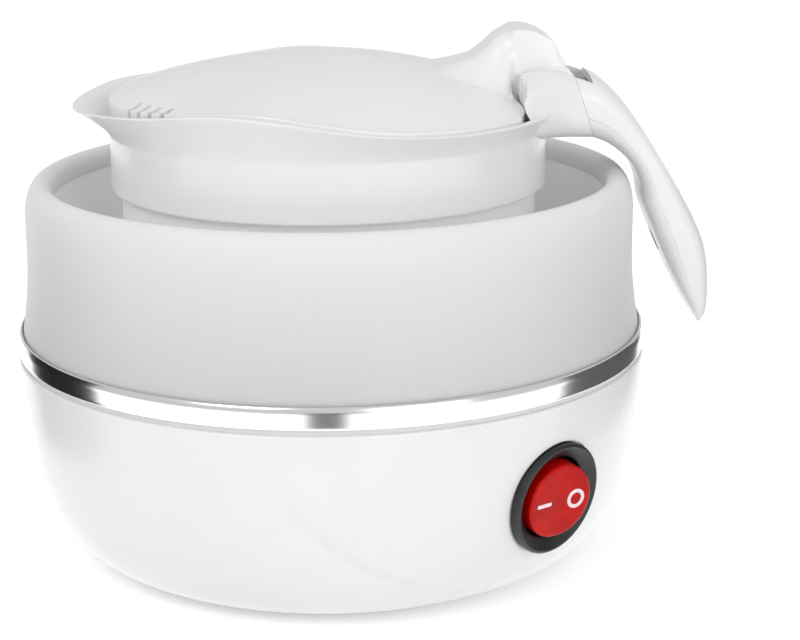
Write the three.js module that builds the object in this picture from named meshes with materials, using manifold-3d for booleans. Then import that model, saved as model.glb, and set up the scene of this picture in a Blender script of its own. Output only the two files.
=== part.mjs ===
// Collapsible travel kettle, folded down: millimetres, +Z up.
// The kettle's axis is Z and the table is z = 0. The spout points to -X and the handle to +X.
// A soft wall is folded into the base half of the body, and lifting the head unfolds it.

import * as THREE from "three";
import { mergeVertices } from "three/addons/utils/BufferGeometryUtils.js";
import Module from "manifold-3d";

const wasm = await Module();
wasm.setup();

// Driving dimensions of the whole kettle
const bodyRadius = 62.3; // the steel band, the widest round
const baseHeight = 40.9; // table to the top of the base shell
const bandHeight = 4.2;
const foldedWallHeight = 29.5; // top of the band to the crest of the fold
const foldDepth = 27; // crest to the lower crease of the fold
const headInset = 19.7; // steel band to the collar, all round
const headHeight = 15; // bottom of the collar to its rim
const headSink = 2.1; // how far the collar sits below the crest
const rimFlare = 2.6; // how far the rim stands past the collar
const mouthInset = 9.6; // collar to the mouth
const spoutReach = 4.6; // how far the pouring lip stands past the rim
const domeHeight = 10.6; // rim to the top of the lid

// Clearances
const fitGap = 0.3; // between pieces that touch
const lidGap = 0.4; // round the lid
const slideGap = 0.6; // beside what turns with the lid
const overrun = 3; // how far a cutter runs past the face that it opens
const mergeReach = 0.001; // corners this close are one

// Base
const shellWall = 2.4;
const flankTaper = 3.4;
const cornerReach = 31;
const cornerPower = 4;
const feetProud = 0.9;
const grooveHeight = 1;
const deckThickness = 2.4;
const bottomInset = 18.9; // steel band to the opening in the bottom
const ledgeWidth = 8;
const ledgeThickness = 2.2;
const coverThickness = 3;
const bossRadius = 3.6;
const bossHeight = 7;

// Screws: shank and head radius, head height, shank length
const coverScrew = { shank: 1.4, head: 2.8, headHeight: 1.3, length: 8.5 };
const clampScrew = { shank: 1.1, head: 2.2, headHeight: 1.2, length: 5.2 };
const headScrew = { shank: 1.1, head: 2.2, headHeight: 1.2, length: 5.5 };
const lidScrew = { shank: 1, head: 2.1, headHeight: 1.1, length: 6 };
const handleScrew = { shank: 1.1, head: 2.2, headHeight: 1.2, length: 4.4 };
const screwRoundness = 8;
const slotWidthInHead = 0.7;

// Feet
const footRadius = 5;
const footInset = 11.4; // bottom opening to the middle of a foot
const footSeatDepth = 1.2;

// Soft wall
const skirtWall = 1.8;
const drumWall = 1.6;
const crestReach = 3.1; // outer shoulder, measured inwards
const crestDrop = 6.6; // outer shoulder, measured downwards
const crestLip = 2.2; // inner shoulder
const waistInset = 1.5; // how much the wall draws in above the band
const waistHeight = 16;
const beadThickness = 2;
const creaseBend = 3;

// Water pan, clamp ring and heater
const panThickness = 0.7;
const panInset = 15.5; // shell's neck to the pan
const panFloorZ = 34;
const panCorner = 4;
const panFlange = 7.6;
const gasketThickness = 1;
const gasketWidth = 5;
const clampThickness = 1.5;
const clampWidth = 9;
const clampScrewInset = 4.9; // shell's neck to the middle of a screw
const spreaderInset = 9.7; // pan to the spreader plate
const spreaderThickness = 3;
const heaterTube = 3;
const heaterInset = 9; // spreader plate to the middle of the element
const heaterSweep = 300;
const thermostatRadius = 8;
const thermostatHeight = 9;
const tabWidth = 4.8;
const tabThickness = 0.8;
const tabLength = 7;
const fuseRadius = 2.2;
const fuseClearance = 1.7; // at each end, to the thermostat and the element
const wireRadius = 1.1;

// Steel band
const bandThickness = 0.8;

// Head
const collarWall = 1.7;
const rimWall = 2.2;
const flareStart = 10.7; // above the collar's bottom
const seatRise = 11.8; // lid seat above the collar's bottom
const seatWidth = 1.4;
const mouthRingRise = 7.4; // underside of the mouth ring above the collar's bottom
const mouthRingThickness = 1.8;
const spoutSpread = 24; // degrees each side of -X with the full reach
const spoutBlend = 50; // degrees each side where the lip joins the round rim
const shoulderAngle = 66;
const shoulderSpread = 31.5;
const shoulderRise = 4.55;
const lipRise = 1.4;
const headClampThickness = 1.8;
const headScrewInset = 2.8; // mouth to the middle of a screw

// Lid
const lidWall = 1.8;
const lidSkirtWall = 1.4;
const domeDropFront = 7.2; // apex to the lid's edge over the spout
const domeCurve = 1.9;
const lidEdgeRound = 1.2;
const plugClearance = 1.2; // in the mouth
const plugDepth = 3.3;
const plugWall = 1.8;
const lidCoverThickness = 1.7;
const sealThickness = 1;
const sealWidth = 5;
const lidBossRadius = 2.6;
const lidBossInset = 7.8; // plug to the middle of a boss
const slotWidth = 1.3;
const slotHeight = 4.9;
const firstSlotAngle = 30;
const slotPitch = 5;
const slotsPerSide = 4;

// Lid hinge, a barrel between the ears of the collar's neck
const hingeInset = 1.2; // rim to the pin
const hingeRise = 4; // above the rim
const pinRadius = 1.25;
const barrelRadius = 6.2;
const barrelTopAngle = 18; // degrees, where the handle's top line meets the barrel
const tailHalfWidth = 8.5;
const tailRound = 0.7;
const tailReach = 11; // how far the barrel's web runs under the lid
const tabReach = 10; // pin to the top of the thumb tab
const earWidth = 3;
const pinHeadCover = 1.6; // what closes the pin's hole at the front

// Handle
const handleReach = 28.2; // root to the outermost point
const handleDrop = 52; // root to the tip
const handleRootOffset = 2.8; // pin to the handle's root
const handleRootRise = 7.2; // above the rim
const handleHalfWidth = 10.3;
const handleWall = 2;
const linerShare = 0.3; // of the handle's thickness
const linerGapShare = 0.34; // where the outer shell's edge starts
const tongueLength = 6;
const tongueEndShare = 0.35; // of the way to the handle's next station

// Rocker switch
const switchAzimuth = -48;
const switchHeight = 22.7;
const seatTilt = 8;
const bezelRadius = 10.8;
const bezelProud = 1;
const switchSink = 1.2;
const bezelHole = 7.9;
const bezelLip = 1.2;
const switchBodyRadius = 9.8;
const switchBodyDepth = 13;
const rockerHalfWidth = 7.2;
const rockerPivotDepth = 2.6;
const rockerDepth = 4.4;
const rockerTilt = 8; // degrees each way from level
const rockerProud = 1.6;

// Power inlet
const inletAzimuth = 90;
const inletHeight = 22.5;
const inletWidth = 25.4;
const inletTall = 21;
const inletSink = 3.2;
const inletFlange = 2.2;
const inletFlangeMargin = 1.6;
const inletDepth = 18;
const snapLug = 0.9;
const snapLugLength = 3;
const socketWidth = 23;
const socketTall = 16;
const socketDepth = 15;
const bladePitch = 7;
const bladeStagger = 3.5;
const bladeRise = 1.8; // the blades stand above the socket's middle
const bladeThickness = 2;
const bladeTall = 4;
const bladeLength = 19;

// Roundness of the meshes
const wideRoundness = 36;
const smallRoundness = 20;
const tinyRoundness = 10;

// Angles of what repeats round the axis, in degrees from +X
const coverScrewAngles = [30, 150, 270];
const clampScrewAngles = [20, 110, 200, 290];
const footAngles = [45, 135, 225, 315];
const headScrewAngles = [60, 180, 300];
const lidScrewAngles = [75, 180, 285];

// Heights and radii that follow from the sizes above
const coverUndersideZ = feetProud;
const ledgeZ = coverUndersideZ + coverThickness + fitGap;
const bandZ = baseHeight + grooveHeight;
const bandTopZ = bandZ + bandHeight;
const neckRadius = bodyRadius - bandThickness - fitGap;
const deckZ = bandZ + grooveHeight;
const crestZ = bandTopZ + foldedWallHeight;
const creaseZ = crestZ - foldDepth;
const collarZ = crestZ - headSink;
const rimZ = collarZ + headHeight;
const seatZ = collarZ + seatRise;
const mouthRingZ = collarZ + mouthRingRise;
const mouthRingTopZ = mouthRingZ + mouthRingThickness;
const apexZ = rimZ + domeHeight;
const headRadius = bodyRadius - headInset;
const rimRadius = headRadius + rimFlare;
const mouthRadius = headRadius - mouthInset;
const plugRadius = mouthRadius - plugClearance;
const lidBossOrbit = plugRadius - lidBossInset;
const headScrewOrbit = mouthRadius + headScrewInset;
const drumRadius = headRadius - collarWall - fitGap;
const creaseRadius = drumRadius - drumWall + creaseBend + skirtWall;
const bottomOpening = bodyRadius - bottomInset;
const footOrbit = bottomOpening - footInset;
const panRadius = neckRadius - panInset;
const clampScrewOrbit = neckRadius - clampScrewInset;
const spreaderRadius = panRadius - spreaderInset;
const heaterOrbit = spreaderRadius - heaterInset;
const fuseOffset = (thermostatRadius + heaterOrbit - heaterTube) / 2;
const fuseLength = heaterOrbit - heaterTube - thermostatRadius - 2 * fuseClearance;
const lidRadius = rimRadius - rimWall - lidGap;
const lidFootRadius = headRadius - collarWall + seatWidth - lidGap;
const hingeZ = rimZ + hingeRise;
const hingeX = rimRadius - hingeInset;
const handleRootX = hingeX + handleRootOffset;

const degrees = Math.PI / 180;

// Materials
const finish = (color, roughness, metalness = 0) =>
  new THREE.MeshStandardMaterial({ color, roughness, metalness });
const whitePlastic = finish(0xf0f0f0, 0.25);
const softWall = finish(0xd6d6d6, 0.45);
const clearSeal = finish(0xe2e2dc, 0.5);
const polishedSteel = finish(0xc8c8c8, 0.15, 1);
const plainSteel = finish(0xb4b4b2, 0.35, 1);
const aluminium = finish(0xbfc1c2, 0.45, 1);
const brass = finish(0xc9a94e, 0.35, 1);
const blackPlastic = finish(0x1d1f20, 0.45);
const redPlastic = finish(0xc8231a, 0.2);
const darkRubber = finish(0x2a2a2a, 0.8);
const ceramicWhite = finish(0xe4e0d4, 0.6);
const brownWire = finish(0x6b3d1e, 0.55);
const blueWire = finish(0x2a5fb0, 0.55);
const earthWire = finish(0x7fa335, 0.55);

const kettle = new THREE.Group();

// A closed mesh: shared corners merged, flat triangles dropped, faces turned outwards
function closed(geometry) {
  const bare = new THREE.BufferGeometry();
  bare.setAttribute("position", geometry.getAttribute("position").clone());
  if (geometry.index) bare.setIndex(geometry.index.clone());
  const merged = mergeVertices(bare, mergeReach);
  const corners = merged.getAttribute("position");
  const faces = [];
  let volume = 0;
  const a = new THREE.Vector3();
  const b = new THREE.Vector3();
  const c = new THREE.Vector3();
  for (let i = 0; i < merged.index.count; i += 3) {
    const [p, q, r] = [0, 1, 2].map((k) => merged.index.getX(i + k));
    if (p === q || q === r || r === p) continue;
    faces.push(p, q, r);
    a.fromBufferAttribute(corners, p);
    b.fromBufferAttribute(corners, q);
    c.fromBufferAttribute(corners, r);
    volume += a.dot(b.cross(c));
  }
  if (volume < 0) faces.reverse();
  merged.setIndex(faces);
  return merged;
}

function toSolid(geometry) {
  const mesh = closed(geometry);
  const vertProperties = Float32Array.from(mesh.getAttribute("position").array);
  const triVerts = Uint32Array.from(mesh.index.array);
  return new wasm.Manifold(new wasm.Mesh({ numProp: 3, vertProperties, triVerts }));
}

function fromSolid(solid) {
  const mesh = solid.getMesh();
  const geometry = new THREE.BufferGeometry();
  geometry.setAttribute("position", new THREE.BufferAttribute(mesh.vertProperties, 3));
  geometry.setIndex(new THREE.BufferAttribute(mesh.triVerts, 1));
  return geometry;
}

// One base geometry with others joined to it, then others cut from it
function carve(base, joined, cut) {
  let solid = toSolid(base);
  for (const piece of joined) solid = solid.add(toSolid(piece));
  for (const piece of cut) solid = solid.subtract(toSolid(piece));
  return fromSolid(solid);
}

function add(name, geometry, material, parent = kettle) {
  const shape = closed(geometry);
  shape.computeVertexNormals();
  const mesh = new THREE.Mesh(shape, material);
  mesh.name = name;
  parent.add(mesh);
  return mesh;
}

// A profile of [radius, height] points turned about Z; a ring's profile closes on itself
function turned(points, segments = wideRoundness) {
  const outline = points.map(([r, z]) => new THREE.Vector2(r, z));
  const onAxis = points[0][0] === 0 && points[points.length - 1][0] === 0;
  if (!onAxis) outline.push(outline[0].clone());
  const geometry = new THREE.LatheGeometry(outline, segments);
  geometry.rotateX(Math.PI / 2);
  return geometry;
}

const ring = (inner, outer, low, high, segments = wideRoundness) =>
  turned([[inner, low], [outer, low], [outer, high], [inner, high]], segments);

const disc = (radius, low, high, segments = wideRoundness) =>
  turned([[0, low], [radius, low], [radius, high], [0, high]], segments);

function rod(radius, low, high, x, y, segments = screwRoundness) {
  const geometry = disc(radius, low, high, segments);
  geometry.translate(x, y, 0);
  return geometry;
}

function block(width, depth, height, x, y, z) {
  const geometry = new THREE.BoxGeometry(width, depth, height);
  geometry.translate(x, y, z);
  return geometry;
}

// A bar along Y whose outline lies in the XZ plane
function barAlongY(shape, halfWidth, round, curveSegments = tinyRoundness) {
  const geometry = new THREE.ExtrudeGeometry(shape, {
    depth: 2 * (halfWidth - round),
    bevelEnabled: true,
    bevelThickness: round,
    bevelSize: round,
    bevelOffset: -round,
    bevelSegments: 2,
    curveSegments,
  });
  geometry.translate(0, 0, -(halfWidth - round));
  geometry.rotateX(Math.PI / 2);
  return geometry;
}

function pinAlongY(radius, halfWidth, x, z, segments = smallRoundness) {
  const geometry = new THREE.CylinderGeometry(radius, radius, 2 * halfWidth, segments);
  geometry.translate(x, 0, z);
  return geometry;
}

// Sections of equal point counts joined one after another; a loop of sections closes on itself
function lofted(sections, isLoop = false) {
  const count = sections[0].length;
  const positions = sections.flat().flatMap((p) => [p.x, p.y, p.z]);
  const faces = [];
  const last = isLoop ? sections.length : sections.length - 1;
  for (let i = 0; i < last; i += 1) {
    const here = i * count;
    const next = ((i + 1) % sections.length) * count;
    for (let j = 0; j < count; j += 1) {
      const k = (j + 1) % count;
      faces.push(here + j, next + j, next + k, here + j, next + k, here + k);
    }
  }
  if (!isLoop) {
    const end = (sections.length - 1) * count;
    const middle = positions.length / 3;
    for (const section of [sections[0], sections[sections.length - 1]]) {
      const centre = section.reduce((sum, p) => sum.add(p), new THREE.Vector3());
      centre.divideScalar(count);
      positions.push(centre.x, centre.y, centre.z);
    }
    for (let j = 0; j < count; j += 1) {
      const k = (j + 1) % count;
      faces.push(middle, j, k, middle + 1, end + k, end + j);
    }
  }
  const geometry = new THREE.BufferGeometry();
  geometry.setAttribute("position", new THREE.Float32BufferAttribute(positions, 3));
  geometry.setIndex(faces);
  return geometry;
}

// Like turned, but the profile changes with the angle from +X, in degrees
function turnedBy(profileAt, segments = wideRoundness) {
  const sections = [];
  for (let i = 0; i < segments; i += 1) {
    const angle = (360 * i) / segments;
    const [c, s] = [Math.cos(angle * degrees), Math.sin(angle * degrees)];
    sections.push(profileAt(angle).map(([r, z]) => new THREE.Vector3(r * c, r * s, z)));
  }
  return lofted(sections, true);
}

// A pan-head screw along Z, its head's bearing face at z = 0 and its shank below, or above if up
function screw({ shank, head, headHeight, length }, up = false) {
  const edge = headHeight * 0.4;
  const profile = [
    [0, -length],
    [shank, -length],
    [shank, 0],
    [head, 0],
    [head, headHeight - edge],
    [head - edge, headHeight],
    [0, headHeight],
  ];
  const slot = block(3 * head, slotWidthInHead, headHeight, 0, 0, headHeight);
  const geometry = carve(turned(profile, screwRoundness), [], [slot]);
  if (up) geometry.rotateX(Math.PI);
  return geometry;
}

const smoothstep = (low, high, value) => THREE.MathUtils.smoothstep(value, low, high);

// Degrees away from the spout, 0 to 180
const fromSpout = (angle) => Math.abs(((((angle - 180) % 360) + 540) % 360) - 180);

const onOrbit = (radius, angle) => [
  radius * Math.cos(angle * degrees),
  radius * Math.sin(angle * degrees),
];

// Radius of the base shell's outside at a height
function baseRadiusAt(z) {
  const depthShare = (baseHeight - z) / baseHeight;
  const corner = 1 - (1 - depthShare ** cornerPower) ** (1 / cornerPower);
  return bodyRadius - flankTaper * depthShare - cornerReach * corner;
}

// The bowl's side from its top down to a height, at a depth inside the outer face
function bowlSide(inset, endZ, steps) {
  const tall = baseHeight - inset;
  const endShare = (baseHeight - endZ) / tall;
  const endTurn = Math.asin(endShare ** (cornerPower / 2));
  const points = [];
  for (let i = 1; i <= steps; i += 1) {
    const turn = (endTurn * i) / steps;
    const depthShare = Math.sin(turn) ** (2 / cornerPower);
    const corner = 1 - Math.cos(turn) ** (2 / cornerPower);
    const radius = bodyRadius - inset - flankTaper * depthShare - (cornerReach - inset) * corner;
    points.push([radius, baseHeight - tall * depthShare]);
  }
  return points;
}

// A frame on the base's wall: local +Z points out of the wall and +Y up along it
function wallFrame(azimuth, height, sink) {
  const out = new THREE.Vector3(
    Math.cos(azimuth * degrees) * Math.cos(seatTilt * degrees),
    Math.sin(azimuth * degrees) * Math.cos(seatTilt * degrees),
    -Math.sin(seatTilt * degrees),
  );
  const across = new THREE.Vector3(0, 0, 1).cross(out).normalize();
  const along = out.clone().cross(across);
  const [x, y] = onOrbit(baseRadiusAt(height), azimuth);
  const seat = new THREE.Vector3(x, y, height).addScaledVector(out, -sink);
  const frame = new THREE.Group();
  frame.matrixAutoUpdate = false;
  frame.matrix.makeBasis(across, along, out).setPosition(seat);
  return frame;
}

const switchFrame = wallFrame(switchAzimuth, switchHeight, switchSink);
const inletFrame = wallFrame(inletAzimuth, inletHeight, inletSink);
kettle.add(switchFrame, inletFrame);

const placed = (geometry, frame) => geometry.applyMatrix4(frame.matrix);

// Base shell: a bowl with a deck on top, a ledge for the cover and seats for switch and inlet
function baseShell() {
  const deckInner = panRadius + fitGap + fitGap;
  const deckUnderZ = deckZ - deckThickness;
  const ledgeTopZ = ledgeZ + ledgeThickness;
  const outer = bowlSide(0, coverUndersideZ, 9);
  const inner = bowlSide(shellWall, ledgeTopZ, 6);
  const profile = [
    [neckRadius, deckZ],
    [neckRadius, baseHeight],
    [bodyRadius, baseHeight],
    ...outer,
    [bottomOpening, coverUndersideZ],
    [bottomOpening, ledgeZ],
    [bottomOpening - ledgeWidth, ledgeZ],
    [bottomOpening - ledgeWidth, ledgeTopZ],
    ...inner.reverse().filter(([, z]) => z < deckUnderZ - shellWall),
    [neckRadius - shellWall, deckUnderZ],
    [deckInner, deckUnderZ],
    [deckInner, deckZ],
  ];
  const switchHole = new THREE.CylinderGeometry(1, 1, 1, smallRoundness);
  const bodyClear = switchBodyRadius + fitGap;
  switchHole.scale(bodyClear, shellWall * 6, bodyClear).rotateX(Math.PI / 2);
  const switchSeat = new THREE.CylinderGeometry(1, 1, 1, smallRoundness);
  const seatClear = bezelRadius + fitGap;
  switchSeat.scale(seatClear, overrun, seatClear).rotateX(Math.PI / 2);
  switchSeat.translate(0, 0, overrun / 2);
  const flangeWidth = inletWidth + 2 * inletFlangeMargin;
  const padWidth = flangeWidth + 2 * shellWall;
  const padBlock = block(padWidth, inletTall + 2 * shellWall, shellWall, 0, 0, -shellWall / 2);
  const bowl = turned([[0, baseHeight], [bodyRadius, baseHeight], ...outer, [0, coverUndersideZ]]);
  const pad = fromSolid(toSolid(placed(padBlock, inletFrame)).intersect(toSolid(bowl)));
  const inletHole = block(inletWidth + 2 * fitGap, inletTall - inletFlange, overrun * 3, 0, 0, 0);
  const inletSeat = block(
    flangeWidth + 2 * fitGap,
    inletTall + 2 * fitGap,
    inletSink + overrun,
    0,
    0,
    (inletSink + overrun) / 2,
  );
  const bosses = coverScrewSpots().map(([x, y]) =>
    rod(bossRadius, ledgeTopZ - ledgeThickness / 2, ledgeTopZ + bossHeight, x, y),
  );
  const bossHoles = coverScrewSpots().map(([x, y]) =>
    rod(coverScrew.shank + fitGap, ledgeZ - overrun, ledgeTopZ + bossHeight + overrun, x, y),
  );
  const clampHoles = clampScrewSpots().map(([x, y]) =>
    rod(clampScrew.shank + fitGap, deckUnderZ - overrun, deckZ + overrun, x, y),
  );
  return carve(
    turned(profile),
    [...bosses, pad],
    [
      ...bossHoles,
      ...clampHoles,
      placed(switchSeat, switchFrame),
      placed(switchHole, switchFrame),
      placed(inletSeat, inletFrame),
      placed(inletHole, inletFrame),
    ],
  );
}

const coverScrewOrbit = bottomOpening - ledgeWidth * 0.55;

const coverScrewSpots = () => coverScrewAngles.map((angle) => onOrbit(coverScrewOrbit, angle));

const clampScrewSpots = () => clampScrewAngles.map((angle) => onOrbit(clampScrewOrbit, angle));

const footSpots = () => footAngles.map((angle) => onOrbit(footOrbit, angle));

const headScrewSpots = () => headScrewAngles.map((angle) => onOrbit(headScrewOrbit, angle));

const lidScrewSpots = () => lidScrewAngles.map((angle) => onOrbit(lidBossOrbit, angle));

// Bottom cover with its counterbored screw holes, foot seats and rows of vent slits
function bottomCover() {
  const radius = bottomOpening - fitGap;
  const topZ = coverUndersideZ + coverThickness;
  const boreDepth = coverScrew.headHeight + fitGap;
  const cuts = [];
  for (const [x, y] of coverScrewSpots()) {
    const clear = coverScrew.head + fitGap;
    cuts.push(rod(clear, coverUndersideZ - overrun, coverUndersideZ + boreDepth, x, y));
    cuts.push(rod(coverScrew.shank + fitGap, coverUndersideZ, topZ + overrun, x, y));
  }
  for (const [x, y] of footSpots()) {
    const seatTop = coverUndersideZ + footSeatDepth;
    cuts.push(rod(footRadius + fitGap, coverUndersideZ - overrun, seatTop, x, y, smallRoundness));
  }
  const slitLength = footOrbit / 2;
  const slitPitch = footRadius;
  for (const side of [-1, 1]) {
    for (const row of [0, 1, 2]) {
      const y = side * (footOrbit / 2 + row * slitPitch);
      cuts.push(block(slitLength, slitPitch / 3, coverThickness * 4, 0, y, coverUndersideZ));
    }
  }
  return carve(disc(radius, coverUndersideZ, topZ), [], cuts);
}

function foot(x, y) {
  const topZ = coverUndersideZ + footSeatDepth - fitGap;
  const edge = feetProud / 2;
  const profile = [
    [0, 0],
    [footRadius - edge, 0],
    [footRadius, edge],
    [footRadius, topZ],
    [0, topZ],
  ];
  const geometry = turned(profile, smallRoundness);
  geometry.translate(x, y, 0);
  return geometry;
}

// Steel band: rolled edges top and bottom, a slight crown between them
function steelBand() {
  const edge = bandThickness / 2;
  const inner = bodyRadius - bandThickness;
  return turned([
    [inner, bandZ],
    [bodyRadius - edge, bandZ],
    [bodyRadius, bandZ + edge],
    [bodyRadius, bandTopZ - 2 * edge],
    [bodyRadius - edge, bandTopZ - edge],
    [bodyRadius - edge, bandTopZ],
    [inner, bandTopZ],
  ]);
}

// Water pan: a pressed steel dish hung by its flange
function waterPan() {
  const flangeUnderZ = deckZ + fitGap + gasketThickness + fitGap;
  const flangeTopZ = flangeUnderZ + panThickness;
  const bend = (radius, floorZ, reach, steps) => {
    const points = [];
    for (let i = 0; i <= steps; i += 1) {
      const turn = (Math.PI / 2) * (i / steps);
      const x = radius - reach + reach * Math.sin(turn);
      points.push([x, floorZ + reach - reach * Math.cos(turn)]);
    }
    return points;
  };
  const inside = bend(
    panRadius - panThickness,
    panFloorZ + panThickness,
    panCorner - panThickness,
    3,
  );
  return turned([
    [0, panFloorZ],
    ...bend(panRadius, panFloorZ, panCorner, 3),
    [panRadius, flangeUnderZ],
    [panRadius + panFlange, flangeUnderZ],
    [panRadius + panFlange, flangeTopZ],
    [panRadius - panThickness, flangeTopZ],
    ...inside.reverse(),
    [0, panFloorZ + panThickness],
  ]);
}

function panGasket() {
  const inner = panRadius + 2 * fitGap + panFlange / 4;
  return ring(inner, inner + gasketWidth, deckZ + fitGap, deckZ + fitGap + gasketThickness);
}

// The soft wall's foot, its bead clamped on the deck, is one with the outer wall
const beadZ = deckZ + fitGap;
const beadInner = panRadius + panFlange + 2 * fitGap;
const waistRadius = neckRadius - waistInset;
const foldTopZ = crestZ - crestLip * 2;
const crestRadius = waistRadius - crestReach;
const lipRadius = crestRadius - crestLip;
const drumTopZ = mouthRingZ - fitGap;
const drumBottomZ = creaseZ + creaseBend + skirtWall + creaseBend;

function outerSoftWall() {
  const waistZ = bandTopZ + waistHeight;
  const shoulderZ = crestZ - crestDrop;
  const points = [
    [neckRadius, beadZ],
    [neckRadius, bandTopZ],
    [neckRadius - waistInset * 0.55, bandTopZ + waistHeight * 0.3],
    [neckRadius - waistInset * 0.9, bandTopZ + waistHeight * 0.7],
    [waistRadius, waistZ],
    [waistRadius, shoulderZ],
  ];
  const shoulderSteps = 4;
  for (let i = 1; i <= shoulderSteps; i += 1) {
    const turn = (Math.PI / 2) * (i / shoulderSteps);
    const x = crestRadius + crestReach * Math.cos(turn);
    points.push([x, shoulderZ + crestDrop * Math.sin(turn)]);
  }
  const lipSteps = 3;
  for (let i = 1; i <= lipSteps; i += 1) {
    const turn = (Math.PI / 2) * (i / lipSteps);
    points.push([crestRadius - crestLip * Math.sin(turn), crestZ - crestLip * (1 - Math.cos(turn))]);
  }
  const innerFace = waistRadius - skirtWall;
  const foldFace = lipRadius + skirtWall;
  const pocket = (innerFace + foldFace) / 2;
  points.push(
    [lipRadius, foldTopZ + fitGap],
    [foldFace, foldTopZ + fitGap],
    [pocket, crestZ - skirtWall],
    [innerFace, shoulderZ + skirtWall],
    [innerFace, waistZ],
    [neckRadius - skirtWall - waistInset * 0.55, bandTopZ + waistHeight * 0.3],
    [neckRadius - skirtWall, bandTopZ],
    [neckRadius - skirtWall, beadZ + beadThickness],
    [beadInner, beadZ + beadThickness],
    [beadInner, beadZ],
  );
  const holes = clampScrewSpots().map(([x, y]) =>
    rod(clampScrew.shank + fitGap, beadZ - overrun, beadZ + beadThickness + overrun / 2, x, y),
  );
  return carve(turned(points), [], holes);
}

// The fold: from inside the crest down to the crease and up to the drum
function foldedSoftWall() {
  const bendZ = creaseZ + creaseBend + skirtWall;
  const outerBend = creaseBend + skirtWall;
  const arc = (reach, steps, flip) => {
    const points = [];
    for (let i = 0; i <= steps; i += 1) {
      const turn = Math.PI * (i / steps);
      points.push([creaseRadius + reach * Math.cos(turn), bendZ - reach * Math.sin(turn)]);
    }
    return flip ? points.reverse() : points;
  };
  const top = drumBottomZ - fitGap;
  return turned([
    [lipRadius + skirtWall, foldTopZ],
    ...arc(outerBend, 5, false),
    [creaseRadius - outerBend, top],
    [creaseRadius - creaseBend, top],
    ...arc(creaseBend, 4, true),
    [lipRadius, foldTopZ],
  ]);
}

// The drum: the soft wall's upper part, its top bead clamped inside the collar
function upperSoftWall() {
  const holes = headScrewSpots().map(([x, y]) =>
    rod(headScrew.shank + fitGap, drumTopZ - overrun, drumTopZ + overrun, x, y),
  );
  const drumInner = drumRadius - drumWall;
  const profile = [
    [drumInner, drumBottomZ],
    [drumRadius, drumBottomZ],
    [drumRadius, drumTopZ],
    [mouthRadius + fitGap, drumTopZ],
    [mouthRadius + fitGap, drumTopZ - drumWall],
    [drumInner, drumTopZ - drumWall],
  ];
  return carve(turned(profile), [], holes);
}

function clampRing() {
  const low = beadZ + beadThickness + fitGap;
  const outer = neckRadius - skirtWall - fitGap;
  const holes = clampScrewSpots().map(([x, y]) =>
    rod(clampScrew.shank + fitGap, low - overrun, low + clampThickness + overrun, x, y),
  );
  return carve(ring(outer - clampWidth, outer, low, low + clampThickness), [], holes);
}

function headClampRing() {
  const high = drumTopZ - drumWall - fitGap;
  const outer = drumRadius - drumWall - fitGap;
  const holes = headScrewSpots().map(([x, y]) =>
    rod(headScrew.shank + fitGap, high - overrun, high + overrun, x, y),
  );
  const low = high - headClampThickness;
  return carve(ring(mouthRadius + fitGap, outer, low, high), [], holes);
}

// Heater under the pan: spreader plate, C-shaped element, thermostat and thermal fuse
const spreaderTopZ = panFloorZ - fitGap;
const heaterTopZ = spreaderTopZ - spreaderThickness - fitGap;

class HeaterRoute extends THREE.Curve {
  getPoint(t, target = new THREE.Vector3()) {
    const angle = (t - 0.5) * heaterSweep * degrees - Math.PI / 2;
    const z = heaterTopZ - heaterTube;
    return target.set(heaterOrbit * Math.cos(angle), heaterOrbit * Math.sin(angle), z);
  }
}

function roundSection(radius, sides) {
  const shape = new THREE.Shape();
  for (let i = 0; i < sides; i += 1) {
    const turn = (2 * Math.PI * i) / sides;
    const point = [radius * Math.cos(turn), radius * Math.sin(turn)];
    if (i === 0) shape.moveTo(...point);
    else shape.lineTo(...point);
  }
  shape.closePath();
  return shape;
}

const tubeAlong = (path, radius, sides, steps) =>
  new THREE.ExtrudeGeometry(roundSection(radius, sides), { extrudePath: path, steps });

function thermostat() {
  const tab = (side) =>
    block(
      tabThickness,
      tabWidth,
      tabLength,
      side * (thermostatRadius - 2 * tabThickness),
      0,
      heaterTopZ - thermostatHeight - tabLength / 2 + tabThickness,
    );
  const body = disc(thermostatRadius, heaterTopZ - thermostatHeight, heaterTopZ, smallRoundness);
  return carve(body, [tab(-1), tab(1)], []);
}

function thermalFuse() {
  const geometry = new THREE.CylinderGeometry(fuseRadius, fuseRadius, fuseLength, tinyRoundness);
  geometry.rotateX(Math.PI / 2);
  geometry.rotateZ(Math.PI / 2);
  geometry.rotateY(Math.PI / 2);
  geometry.translate(fuseOffset, 0, heaterTopZ - fuseRadius);
  return geometry;
}

// Rim height and reach of the collar at an angle from +X
const lipShare = (angle) => 1 - smoothstep(spoutSpread, spoutBlend, fromSpout(angle));
const rimReachAt = (angle) => rimRadius + spoutReach * lipShare(angle);
const shoulderAt = (angle) =>
  shoulderRise * Math.exp(-(((fromSpout(angle) - shoulderAngle) / shoulderSpread) ** 2));
const rimZAt = (angle) => rimZ + shoulderAt(angle) + lipRise * lipShare(angle);

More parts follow.
